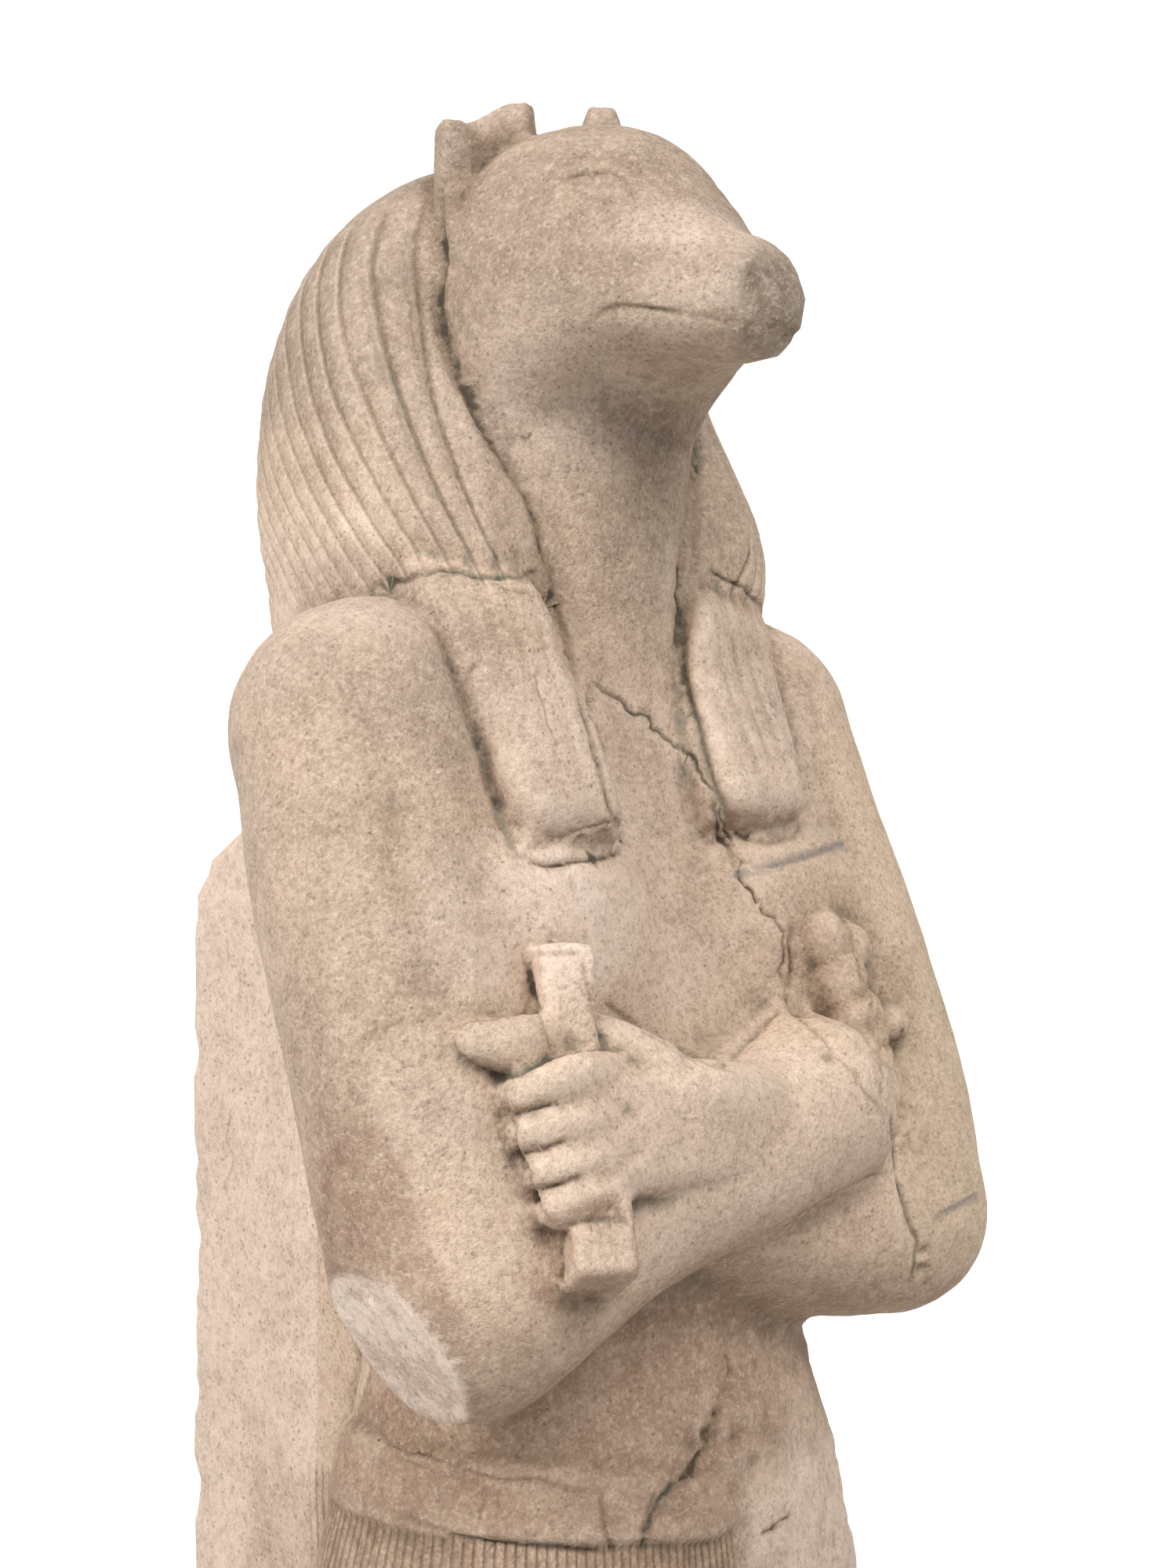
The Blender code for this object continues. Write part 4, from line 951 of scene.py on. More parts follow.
def coarse_relief(mesh, wig_trees, face_trees, lappet_trees):
    """Strands of the wig, grooves of the lappets, the unevenness of worn stone and the break of the pillar."""
    co = coordinates(mesh)
    n = soft_normals(mesh, 4)
    p = in_units(co)
    x, y, z = p.T
    high = z > -0.2
    wig = gap(wig_trees, co, high & (z > 0.15), 0.012)
    face = gap(face_trees, co, high & (y < 0.15), 0.012)
    lap = gap(lappet_trees, co, high & (y < 0.05) & (z < 0.75), 0.012)
    on_wig = step(face - wig, 0.0005, 0.004) * step(wig, 0.009, 0.005) * step(z, 0.30, 0.42)
    on_lap = step(face - lap, -0.001, 0.003) * step(lap, 0.008, 0.004) * (n[:, 1] < 0.1) * step(z, 0.62, 0.45)
    s = strand(p)
    to_line = s - np.round(s)
    fade = step(z, 1.36, 1.20) * step(z, 0.36, 0.50) * step(s, 0.35, 0.8)
    patchy = 0.75 + 0.25 * lattice(co, 0.03, 3)
    deep = (2.5 - 1.2 * step(s, 2.2, 3.0) - 0.6 * step(s, 4.5, 6.5)) * np.where(z < 0.62, 0.8, 1.0) * patchy
    h = -deep * np.exp(-((to_line / 0.16) ** 2)) + 0.45 * to_line + 0.6 * np.sqrt(np.clip(np.abs(to_line) * 2, 0, 1))
    lift = h * fade * on_wig * (1 - on_lap)
    half = (np.abs(x) - 0.19) / 0.28 * 5.0
    groove = np.exp(-(((half - np.round(half)) / 0.16) ** 2))
    lift += -1.0 * groove * on_lap * step(z, -0.05, 0.05) * (0.5 + 0.5 * lattice(co, 0.05, 9))
    # worn unevenness, less on the plain hidden parts
    upper = 0.35 + 0.65 * step(z, -2.1, -1.6)
    lift += upper * (0.65 * rough(co, 0.055, 21, 2) + 0.30 * rough(co, 0.014, 22, 2))
    face_on = step(0.012 - face, 0.006, 0.010)
    lift += 0.18 * face_on * rough(co, 0.006, 23, 1)
    # the muzzle's end is worn rough, and so is what remains of the hand
    tip = step(np.linalg.norm((p - [0.0, -0.66, 1.04]) * [1, 1, 1], axis=1), 0.30, 0.06)
    lift += tip * (1.5 * rough(co, 0.015, 31, 2) + 0.7 * rough(co, 0.006, 32, 1))
    torn = step(np.linalg.norm((p - [0.41, -0.49, -0.48]) * [1, 1, 0.8], axis=1), 0.26, 0.10)
    lift += torn * (1.7 * rough(co, 0.016, 41, 3) + 0.35 * rough(co, 0.005, 42, 1))
    chest = np.linalg.norm((p - [0.47, -0.55, -0.70]) * [1, 1, 0.7], axis=1)
    lift += step(chest, 0.14, 0.06) * 1.0 * rough(co, 0.008, 43, 2)
    # break of the pillar's top and its battered rear edges
    shaft = (y > 0.40) & (z < 0.25)
    top = shaft * step(z, -0.42, -0.18)
    lift += top * (2.6 * rough(co, 0.032, 51, 3))
    edge = shaft * step(y, 0.78, 0.86) * step(np.abs(x), 0.36, 0.43)
    lift += edge * (np.minimum(2.4 * rough(co, 0.030, 52, 3), 0.0))
    scar = step(np.linalg.norm(p - ELBOW_CHIP, axis=1), 0.20, 0.15) * step(n @ ELBOW_CUT, 0.75, 0.95)
    lift += scar * 1.1 * rough(co, 0.016, 55, 3)
    # the belly's left side is battered and patched
    patch = step(y, 0.10, -0.05) * step(z, -2.15, -1.95) * step(z, -1.12, -1.30) * step(x, 0.00, 0.14)
    lift += patch * (1.7 * rough(co, 0.022, 61, 3) + 0.5 * rough(co, 0.006, 62, 1))
    knot = np.linalg.norm((p - [-0.02, -0.47, -1.63]) * [1, 1, 0.8], axis=1)
    lift += step(knot, 0.17, 0.07) * (1.6 + 1.1 * rough(co, 0.012, 63, 2))
    # broken upper edges of the ears and of the lappets' ends
    ears = step(z, 1.50, 1.53) * (y > -0.12)
    lift += ears * 0.9 * rough(co, 0.010, 71, 2)
    ends = on_lap * step(z, 0.02, -0.06)
    lift += ends * 0.9 * rough(co, 0.010, 72, 2)
    # sharper edges of the base and the kilt's hem are chipped here and there
    low = (z < SOLE + 0.02) & (z > SOLE - 0.355)
    rim = low * (np.maximum(np.abs(x) / (BASE_W / 2 / U), np.abs((y - BASE_FRONT) - BASE_L / 2 / U) / (BASE_L / 2 / U)) > 0.97)
    lift += rim * np.minimum(1.2 * rough(co, 0.035, 81, 3), 0)
    sole = n[:, 2] < -0.9
    lift = np.where((z < SOLE - 0.3) & sole, 0, lift)
    place(mesh, co + n * lift[:, None] * 0.001)
    return mesh


def thinned(mesh, wanted, weights):
    """Fewer triangles, kept closest where the weights are low."""
    obj = bpy.data.objects.new("thin", mesh)
    bpy.context.scene.collection.objects.link(obj)
    group = obj.vertex_groups.new(name="plain")
    levels = np.round(np.clip(weights, 0, 1) * 20).astype(int)
    for k in range(21):
        group.add([int(i) for i in np.flatnonzero(levels == k)], k / 20, "REPLACE")
    faces = sum(len(f.vertices) - 2 for f in mesh.polygons)
    thin = obj.modifiers.new("Decimate", "DECIMATE")
    thin.ratio = min(1.0, wanted / faces)
    thin.use_collapse_triangulate = True
    thin.vertex_group = "plain"
    thin.vertex_group_factor = 0.25
    return baked(obj)


def traced(tree):
    """Every line and spot of the carving on the surface, in metres."""
    lines = []
    for k, (name, (pts, wide, deep, dark, wander, mirrored)) in enumerate(LINES.items()):
        path = polyline(tree, pts, wander, k + 1)
        # a jump in depth ends a line
        if len(path) > 1:
            jumps = np.flatnonzero(np.linalg.norm(np.diff(path, axis=0), axis=1) > 0.012)
            for part_ in np.split(path, jumps + 1):
                if len(part_) > 1:
                    lines.append((name, part_, wide, deep, dark))
                    if mirrored:
                        lines.append((name, part_ * [-1, 1, 1], wide, deep, dark))
    spots = []
    for (u, v), wide, deep, dark, pale in SPOTS:
        start, way = ray(u, v)
        hit = tree.ray_cast(start, way)
        if hit[0] is not None:
            spots.append((np.array(hit[0]), wide, deep, dark, pale))
    return lines, spots


def refined(mesh, lines, spots, near, rounds):
    """Smaller triangles close to the carved lines."""
    for k in range(rounds):
        co = coordinates(mesh)
        mark = np.zeros(len(co), bool)
        for _, path, wide, *_ in lines:
            if wide > 5:
                continue
            d, _a = far_from(path, co, np.ones(len(co), bool), 0.010)
            mark |= d < near[k] + wide * 0.0006
        for centre, wide, *_ in spots:
            mark |= np.linalg.norm(co - centre, axis=1) < (wide * 0.0011)
        bm = bmesh.new()
        bm.from_mesh(mesh)
        bm.verts.ensure_lookup_table()
        picked = [e for e in bm.edges if mark[e.verts[0].index] and mark[e.verts[1].index] and e.calc_length() > 0.0011]
        bmesh.ops.subdivide_edges(bm, edges=picked, cuts=1, use_grid_fill=True)
        bmesh.ops.triangulate(bm, faces=[f for f in bm.faces if len(f.verts) > 3])
        bm.to_mesh(mesh)
        bm.free()
    return mesh


def fine_relief(mesh, lines, spots):
    """Cuts the lines and chips; returns how dark, pale and cracked the stone is there."""
    co = coordinates(mesh)
    n = soft_normals(mesh, 8)
    everywhere = np.ones(len(co), bool)
    lift = np.zeros(len(co))
    dark = np.zeros(len(co))
    pale = np.zeros(len(co))
    for k, (name, path, wide, deep, tone) in enumerate(lines):
        d, along = far_from(path, co, everywhere, 0.030 if wide > 5 else 0.014)
        w = wide * 0.001 * (1 + 0.30 * lattice(co, 0.012, 100 + k))
        ends = step(along, -0.02, 0.12) * step(along, 1.02, 0.88)
        profile = np.exp(-((d / w) ** 2)) * (0.35 + 0.65 * ends)
        lift = np.minimum(lift, -deep * profile * (1 + 0.25 * lattice(co, 0.02, 200 + k)))
        halo = np.exp(-((d / (w * 1.25)) ** 2)) * (0.45 + 0.55 * ends)
        dark = np.maximum(dark, tone * halo)
    for k, (centre, wide, deep, tone, light) in enumerate(spots):
        d = np.linalg.norm(co - centre, axis=1) * (1 + 0.25 * lattice(co, 0.008, 300 + k))
        profile = np.exp(-((d / (wide * 0.0008)) ** 2))
        lift = np.where(deep > 0, np.minimum(lift, -deep * profile), lift - deep * profile)
        dark = np.maximum(dark, tone * profile)
        pale = np.maximum(pale, light * profile)
    # the eyeballs stand out a little
    p = in_units(co)
    for side in (-1, 1):
        r = np.linalg.norm((p - [side * 0.205, -0.335, 1.255]) / [0.10, 0.10, 0.050], axis=1)
        lift += 1.1 * np.exp(-(r**3))
    place(mesh, co + n * lift[:, None] * 0.001)
    return dark, pale


def attribute(mesh, name, values):
    a = mesh.attributes.new(name, "FLOAT", "POINT")
    a.data.foreach_set("value", np.asarray(values, np.float32))


def hollows(mesh, radius_steps=14):
    """How deep each point lies below the smoothed surface, in metres: positive in hollows."""
    co = coordinates(mesh)
    soft = averaged(co, *links(mesh), radius_steps, 0.35)
    return ((soft - co) * normals(mesh)).sum(1)


def tints(mesh, dark, pale):
    """Where the stone is stained, pale, grey or yellow, or carries painted shade and painted light, as attributes for
    the material.
    """
    co = coordinates(mesh)
    n = normals(mesh)
    p = in_units(co)
    x, y, z = p.T
    u, v = seen(p)
    wob = rough(co, 0.060, 401, 3) * 0.5
    wob2 = rough(co, 0.022, 402, 3) * 0.5
    fine = rough(co, 0.008, 403, 2) * 0.5
    deep = hollows(mesh)
    # painted shade: hollows darken by how deep they lie below the smoothed surface
    hollow_shade = np.clip(deep / 0.0014, 0, 1)
    ridge = np.clip(-deep / 0.0012, 0, 1)

    def blob(cx, cy, cz, rx, ry, rz, soft=0.35, ripple=0.35):
        r = np.sqrt(((x - cx) / rx) ** 2 + ((y - cy) / ry) ** 2 + ((z - cz) / rz) ** 2)
        return step(r + ripple * (wob + 0.6 * wob2), 1 + soft, 1 - soft)

    facing = step(seen_normal(n), -0.1, 0.25)
    # grey-tan patina: head, neck, the front and top of the wig, mottling of the right arm
    # faces of the head turned down are kept out of the patina: painted light under the jaw
    head = step(z + 0.12 * wob, 0.62, 0.80) * step(y, 0.10, -0.02) * (1 - 0.92 * step(-n[:, 2], 0.08, 0.50))
    neck = step(z, 0.28, 0.45) * step(y, 0.0, -0.10) * step(np.abs(x), 0.34, 0.28) * 0.55
    crown = step(z + 0.25 * wob, 0.62, 1.00) * (y > -0.02) * 0.95
    mane = step(s_of(p) + wob, 6.0, 2.5) * step(z, 0.42, 0.6) * (y > -0.2) * (np.abs(x) > 0.2) * 0.65
    mottle = blob(-0.80, -0.15, -0.25, 0.22, 0.40, 0.75, 0.6, 0.9) * 0.62
    shoulder = blob(-0.62, -0.1, 0.22, 0.36, 0.35, 0.26, 0.5, 0.9) * 0.8
    lap = step(z, 0.55, 0.40) * step(z, -0.16, -0.05) * step(np.abs(x), 0.60, 0.54) * step(y, -0.16, -0.24) * 0.35
    grey = np.clip(np.maximum.reduce([head, neck, crown, mane, mottle, shoulder, lap]) + 0.35 * wob2 * 0.6, 0, 1)
    grey *= 1 - step(np.linalg.norm(p - ELBOW_CHIP, axis=1), 0.24, 0.19)
    # brown staining low on the right arm, on the belly and at the foot of the pillar; painted shade under the forearms
    # and on the belly below them, on faces turned down and on the butt of the staff
    edge = np.interp(v, [1300, 1400, 1480, 1560, 1640, 1700, 1770], [430, 470, 512, 532, 565, 590, 620])
    arm_stain = step(edge + 26 * wob2 + 14 * fine - u, -14, 14) * step(u, 388, 420) * step(v + 40 * wob, 1330, 1460) * facing * (x < -0.5)
    elbow = step(np.linalg.norm(p - ELBOW_CHIP, axis=1), 0.200, 0.180) * step(n @ ELBOW_CUT, 0.74, 0.88)
    # the belly under the forearms: brown stain, partly painted shadow of the forearms
    belly = step(y, -0.05, -0.22) * step(z, -1.02, -1.12) * step(z + 0.12 * wob, -1.62, -1.42) * step(x + 0.10 * wob2, 0.42, 0.22) * 0.84
    # painted shade with some brown patina: the undersides of the arms and the stone just under the right forearm
    below = step(-n[:, 2], 0.0, 0.5) * step(z, -1.20, -1.05) * (z < -0.6) * (y < 0.1) * 0.35 * (1 - elbow)
    below = np.maximum(below, step(z + 0.08 * wob, -0.86, -1.02) * (z > -1.30) * (x < 0.05) * (y < -0.1) * (0.35 + 0.65 * step(-n[:, 2], -0.2, 0.2)) * 0.6 * (1 - elbow))
    torn = blob(0.42, -0.52, -0.38, 0.22, 0.20, 0.26, 0.3, 0.5) * (y < -0.40) * 0.5
    side = step(x, 0.42, 0.52) * step(z, -1.0, -1.1) * step(z, -1.60, -1.45) * 0.25
    foot = (y > 0.25) * step(z + 0.5 * wob, -1.35, -1.75) * 0.45 * step(y + 0.10 * wob, 0.72, 0.56) * (x < -0.3)
    # painted shade on every face turned down from the waist up to the base of the neck
    under = step(-n[:, 2], 0.25, 0.75) * step(z, -1.4, -1.1) * 0.75 * (z < 0.5) * (1 - elbow)
    # painted shade on the butt of the staff, strongest on its faces turned down and forward
    butt = step(np.linalg.norm(p - [-0.585, -0.72, -0.880], axis=1), 0.17, 0.11) * (0.35 + 0.65 * step(-n[:, 2] - 0.6 * n[:, 1] + 0.3 * n[:, 0], 0.0, 0.5))
    belt = (np.abs(z + 1.53) < 0.17) * (y < 0.1) * 0.65 * step(x, 0.16, 0.04) * 1.4
    stain_and_shade = np.clip(np.maximum.reduce([arm_stain * (1 - elbow), torn, below, belly, side, foot, under, belt, butt]) + 0.25 * wob2 * 0.5, 0, 1)
    # pale, cleaner stone: pillar, low on the wig, the outer right arm and hand; painted light on the breast and under
    # the jaw, and a painted highlight on top of the muzzle
    shaft = (y > 0.36) * (z < 0.1) * 0.9
    wig_low = step(z, 0.72, 0.55) * step(z, 0.30, 0.36) * step(s_of(p) + wob, 3.5, 5.5) * 0.55
    arm_back = blob(-0.86, 0.12, -0.35, 0.20, 0.22, 0.75, 0.5, 0.6) * 0.6
    # painted light from the front on the breast
    breast = np.maximum(blob(-0.46, -0.40, -0.27, 0.24, 0.30, 0.17, 0.5, 0.5), 0.35 * blob(-0.12, -0.45, -0.33, 0.34, 0.30, 0.30, 0.6, 0.6))
    # painted light: the underside of the jaw and the neck below it are paled
    jowl = blob(-0.24, -0.26, 0.86, 0.28, 0.28, 0.16, 0.6, 0.4) * 0.8
    lips = blob(-0.10, -0.50, 1.03, 0.14, 0.15, 0.09, 0.6, 0.4) * 0.7
    hand = blob(-0.20, -0.66, -0.72, 0.60, 0.35, 0.30, 0.5, 0.5) * 0.75
    ochre = step(np.abs(x - 0.28), 0.26, 0.20) * step(z, 0.62, 0.5) * step(z, -0.14, -0.06) * step(y, -0.16, -0.26)
    inner = step(x, -0.55, -0.38) * step(x, 0.1, -0.1) * step(z, -0.55, -0.4) * step(z, 0.36, 0.20) * 0.65
    plaster = step(y, 0.10, -0.05) * step(z, -2.4, -2.2) * step(z + 0.15 * wob, -1.40, -1.62) * step(x + 0.1 * wob2, 0.02, 0.14) * 0.95
    # painted highlight on top of the muzzle
    muzzle = blob(-0.10, -0.50, 1.20, 0.20, 0.14, 0.08, 0.6, 0.5) * 0.85
    light = np.clip(np.maximum.reduce([shaft, wig_low, arm_back, breast, jowl, lips, 0.75 * ochre, 0.6 * hand, inner, plaster, muzzle, 1.0 * elbow, pale * 1.0]) + 0.2 * wob2 * 0.4, 0, 1)
    # the re-attached left arm is smoother and yellower
    yellow = step(x - 0.12 * np.maximum(0, -z), 0.26, 0.34) * step(z, 0.20, 0.05) * step(z, -1.35, -1.25) * (z > -1.4)
    yellow = np.clip(np.maximum(yellow, 0.9 * ochre) * (0.85 + 0.3 * wob), 0, 1)
    snout = step(np.linalg.norm((p - [0.05, -0.68, 1.02]) / [1, 1, 1.1], axis=1) + 0.06 * wob2 + 0.03 * fine, 0.20, 0.10)
    s = s_of(p)
    on = getattr(tints, "wig_mask")
    attribute(mesh, "grey", grey)
    attribute(mesh, "stain_and_shade", stain_and_shade)
    attribute(mesh, "pale", light)
    attribute(mesh, "yellow", yellow)
    attribute(mesh, "snout", snout)
    attribute(mesh, "chip", elbow)
    # plain pencil strokes on the left breast and elbow
    mark = np.maximum(0.8 * step(off_line(u, v, (940, 1116), (1072, 1078)), 8, 3), 0.6 * step(off_line(u, v, (1194, 1552), (1244, 1526)), 7, 3))
    attribute(mesh, "mark", mark * facing * (y < -0.1) * (z < 0.1))
    clean = np.maximum(0.65 * step(z, -2.3, -2.9), 0.6 * (x > 0) * step(y, 0.25, 0.40))
    # earth in the cuts and cracks together with painted shade: the hollows by their depth, and for some lines the
    # shadow along edges and creases
    attribute(mesh, "dirt_and_shade", np.clip(0.75 * hollow_shade * (1 - clean) + dark * (1 - clean), 0, 1.2))
    attribute(mesh, "ridge", ridge)
    attribute(mesh, "strand", s)
    attribute(mesh, "wig", on(co, p))
    attribute(mesh, "pleat", pleat(p))
    low, high = belt_edges(x, y)
    attribute(mesh, "kilt", (1 - 0.9 * step(z, -2.0, -1.8) * step(x + 0.1 * wob2, -0.02, 0.08) * (y < 0.3)) * step(z, low + 0.004, low - 0.012) * step(z, HEM - 0.02, HEM + 0.01) * step(y, 0.42, 0.34))


def off_line(u, v, a, b):
    """How far the seen points are from the straight stroke a to b."""
    du, dv = b[0] - a[0], b[1] - a[1]
    t = np.clip(((u - a[0]) * du + (v - a[1]) * dv) / (du * du + dv * dv), 0, 1)
    return np.hypot(u - a[0] - t * du, v - a[1] - t * dv)


def s_of(p):
    return strand(p)


# ---------------------------------------------------------------- the stone
class Nodes:
    """Builds a node tree with short calls."""

    def __init__(self, tree):
        self.tree = tree
        tree.nodes.clear()

    def add(self, kind, **settings):
        node = self.tree.nodes.new(kind)
        for key, value in settings.items():
            setattr(node, key, value)
        return node

    def link(self, a, b):
        self.tree.links.new(a, b)

    def value(self, given, socket):
        if isinstance(given, (int, float)):
            socket.default_value = given
        else:
            self.link(given, socket)

    def math(self, op, a, b=0.0, clamp=False):
        node = self.add("ShaderNodeMath", operation=op, use_clamp=clamp)
        self.value(a, node.inputs[0])
        self.value(b, node.inputs[1])
        return node.outputs[0]

    def times(self, *factors):
        out = factors[0]
        for factor in factors[1:]:
            out = self.math("MULTIPLY", out, factor)
        return out

    def total(self, *terms):
        out = terms[0]
        for term in terms[1:]:
            out = self.math("ADD", out, term)
        return out

    def ramp(self, value, low, high, out_low=0.0, out_high=1.0):
        node = self.add("ShaderNodeMapRange", clamp=True)
        self.value(value, node.inputs[0])
        for k, v in enumerate((low, high, out_low, out_high)):
            node.inputs[k + 1].default_value = v
        return node.outputs[0]

    def noise(self, where, scale, detail=4.0, roughness=0.55, distortion=0.0):
        node = self.add("ShaderNodeTexNoise")
        node.inputs["Scale"].default_value = scale
        node.inputs["Detail"].default_value = detail
        node.inputs["Roughness"].default_value = roughness
        node.inputs["Distortion"].default_value = distortion
        self.link(where, node.inputs["Vector"])
        return node.outputs[0]

    def shifted(self, where, scale, amount):
        """The place, pushed about by noise, so that what is drawn there loses its round outline."""
        cloud = self.add("ShaderNodeTexNoise")
        cloud.inputs["Scale"].default_value = scale
        cloud.inputs["Detail"].default_value = 2.0
        self.link(where, cloud.inputs["Vector"])
        node = self.add("ShaderNodeVectorMath", operation="MULTIPLY_ADD")
        self.link(cloud.outputs["Color"], node.inputs[0])
        node.inputs[1].default_value = (amount, amount, amount)
        self.link(where, node.inputs[2])
        return node.outputs[0]

    def dots(self, where, scale, share, size, soft):
        """Spots in some of the cells: share of the cells that hold one, and their size."""
        cells = self.add("ShaderNodeTexVoronoi", feature="F1")
        cells.inputs["Scale"].default_value = scale
        self.link(where, cells.inputs["Vector"])
        chance = self.add("ShaderNodeSeparateColor")
        self.link(cells.outputs["Color"], chance.inputs[0])
        held = self.math("LESS_THAN", chance.outputs[0], share)
        strength = self.ramp(chance.outputs[1], 0.0, 1.0, 0.35, 1.0)
        return self.times(held, strength, self.ramp(cells.outputs["Distance"], size, size + soft, 1.0, 0.0))

    def mix(self, factor, a, b, blend="MIX"):
        node = self.add("ShaderNodeMix", data_type="RGBA", blend_type=blend)
        self.value(factor, node.inputs[0])
        for value, socket in ((a, node.inputs[6]), (b, node.inputs[7])):
            if isinstance(value, tuple):
                socket.default_value = (*value, 1)
            else:
                self.link(value, socket)
        return node.outputs[2]

    def attribute(self, name):
        return self.add("ShaderNodeAttribute", attribute_name=name).outputs["Fac"]


CREAM = (0.650, 0.490, 0.355)
PINK = (0.680, 0.495, 0.370)
TAN = (0.560, 0.400, 0.275)
YELLOW = (0.665, 0.505, 0.350)
PALE = (0.790, 0.625, 0.520)
CHIP = (0.900, 0.745, 0.640)
GREY = (0.336, 0.247, 0.184)
BROWN = (0.325, 0.195, 0.128)
SNOUT = (0.235, 0.180, 0.138)
PIT = (0.130, 0.095, 0.075)
EARTH_AND_SHADE = (0.230, 0.165, 0.108)
SOOT_AND_SHADE = (0.060, 0.048, 0.038)
MOSS = (0.175, 0.185, 0.140)
RUST = (0.430, 0.190, 0.090)
FLECK_DARK = (0.260, 0.190, 0.145)
FLECK_LIGHT = (0.860, 0.740, 0.620)


def limestone():
    stone = bpy.data.materials.new("limestone")
    stone.use_nodes = True
    k = Nodes(stone.node_tree)
    out = k.add("ShaderNodeOutputMaterial")
    shader = k.add("ShaderNodeBsdfPrincipled")
    k.link(shader.outputs[0], out.inputs[0])
    where = k.add("ShaderNodeTexCoord").outputs["Object"]
    grey, stain_and_shade, pale = k.attribute("grey"), k.attribute("stain_and_shade"), k.attribute("pale")
    yellow, snout, dirt_and_shade, ridge = k.attribute("yellow"), k.attribute("snout"), k.attribute("dirt_and_shade"), k.attribute("ridge")
    wig, kilt = k.attribute("wig"), k.attribute("kilt")

    broad = k.noise(where, 9.0, 5.0, 0.6)
    cloud = k.noise(where, 26.0, 6.0, 0.65, 0.4)
    mottle = k.noise(where, 70.0, 5.0, 0.70)
    grain = k.noise(where, 260.0, 4.0, 0.75)
    grit = k.noise(where, 620.0, 3.0, 0.75)
    sand = k.noise(where, 1500.0, 2.0, 0.6)

    # cream to pinkish ground, drifting slowly over the block
    ground = k.mix(k.ramp(broad, 0.38, 0.62), CREAM, PINK)
    ground = k.mix(k.times(k.ramp(cloud, 0.40, 0.66), 0.60), ground, TAN)
    ground = k.mix(k.times(yellow, 0.70), ground, YELLOW)
    ground = k.mix(k.times(pale, k.ramp(cloud, 0.30, 0.65, 1.0, 0.55)), ground, PALE)

    # grey-tan patina breaks up along the grain
    patchy = k.total(k.times(cloud, 0.45), k.times(mottle, 0.55))
    veil = k.times(grey, k.ramp(patchy, 0.40, 0.58, 0.66, 1.0))
    ground = k.mix(k.times(veil, 0.90), ground, GREY)
    # brown: stain, and painted shade under the arms, on faces turned down and on the staff's butt
    brown = k.times(stain_and_shade, k.ramp(patchy, 0.38, 0.60, 0.55, 1.0))
    ground = k.mix(k.times(brown, 0.88), ground, BROWN)
    ground = k.mix(k.times(pale, k.ramp(grey, 0.5, 1.0), k.ramp(patchy, 0.40, 0.55), 0.8), ground, PALE)
    ground = k.mix(k.times(snout, k.ramp(mottle, 0.35, 0.60, 0.45, 0.95)), ground, SNOUT)
    ground = k.mix(k.ramp(mottle, 0.50, 0.72, 0.0, 0.20), ground, FLECK_DARK)
    ground = k.mix(k.ramp(mottle, 0.50, 0.30, 0.0, 0.12), ground, FLECK_LIGHT)

    ground = k.mix(k.times(k.attribute("chip"), k.ramp(mottle, 0.40, 0.62, 1.0, 0.45), 0.85), ground, CHIP)

    # pits: many fine ones in the patina, few and larger ones on clean stone
    bent = k.shifted(where, 420.0, 0.0022)
    share = k.times(k.total(k.times(grey, 0.46), k.times(stain_and_shade, 0.25), 0.10), k.ramp(patchy, 0.38, 0.60, 0.35, 1.6))
    fine = k.dots(bent, 460.0, share, 0.14, 0.34)
    coarse = k.dots(k.shifted(where, 180.0, 0.0040), 150.0, k.times(share, 0.30), 0.05, 0.16)
    ground = k.mix(k.times(fine, 0.72), ground, PIT)
    ground = k.mix(k.times(coarse, 0.60), ground, PIT)

    # sandy grain, both lighter and darker
    ground = k.mix(k.ramp(grain, 0.50, 0.72, 0.0, 0.55), ground, FLECK_DARK)
    ground = k.mix(k.ramp(grain, 0.48, 0.28, 0.0, 0.42), ground, FLECK_LIGHT)
    ground = k.mix(k.times(k.ramp(grit, 0.52, 0.70, 0.0, 0.62), k.ramp(pale, 0.0, 1.0, 1.0, 0.60)), ground, FLECK_DARK)
    ground = k.mix(k.ramp(grit, 0.46, 0.28, 0.0, 0.45), ground, FLECK_LIGHT)

    # rubbed ridges are light, and earth fills the grooves; hollows and some carved edges also carry painted shade
    ground = k.mix(k.times(ridge, 0.13), ground, FLECK_LIGHT)
    row = k.attribute("strand")
    seam = k.math("SUBTRACT", k.math("FRACT", k.math("ADD", row, 0.5)), 0.5)
    line = k.times(k.ramp(k.math("ABSOLUTE", seam), 0.0, 0.13, 1.0, 0.0), wig)
    crest = k.times(k.ramp(k.math("ABSOLUTE", k.math("SUBTRACT", seam, 0.13)), 0.0, 0.08, 1.0, 0.0), wig)
    front = k.times(k.ramp(row, 2.3, 3.2, 1.0, 0.45), k.ramp(row, 4.5, 7.0, 1.0, 0.40))
    soft = k.ramp(row, 4.5, 7.5, 1.0, 0.45)
    ground = k.mix(k.times(line, front, k.ramp(mottle, 0.35, 0.6, 0.5, 1.0), 0.62), ground, EARTH_AND_SHADE)
    ground = k.mix(k.times(crest, k.ramp(mottle, 0.35, 0.6, 0.4, 1.0), 0.38), ground, FLECK_LIGHT)
    fold = k.math("ABSOLUTE", k.math("SUBTRACT", k.math("FRACT", k.attribute("pleat")), 0.5))
    crease = k.times(k.ramp(fold, 0.30, 0.5, 0.0, 1.0), kilt)
    ground = k.mix(k.times(crease, 0.45), ground, EARTH_AND_SHADE)
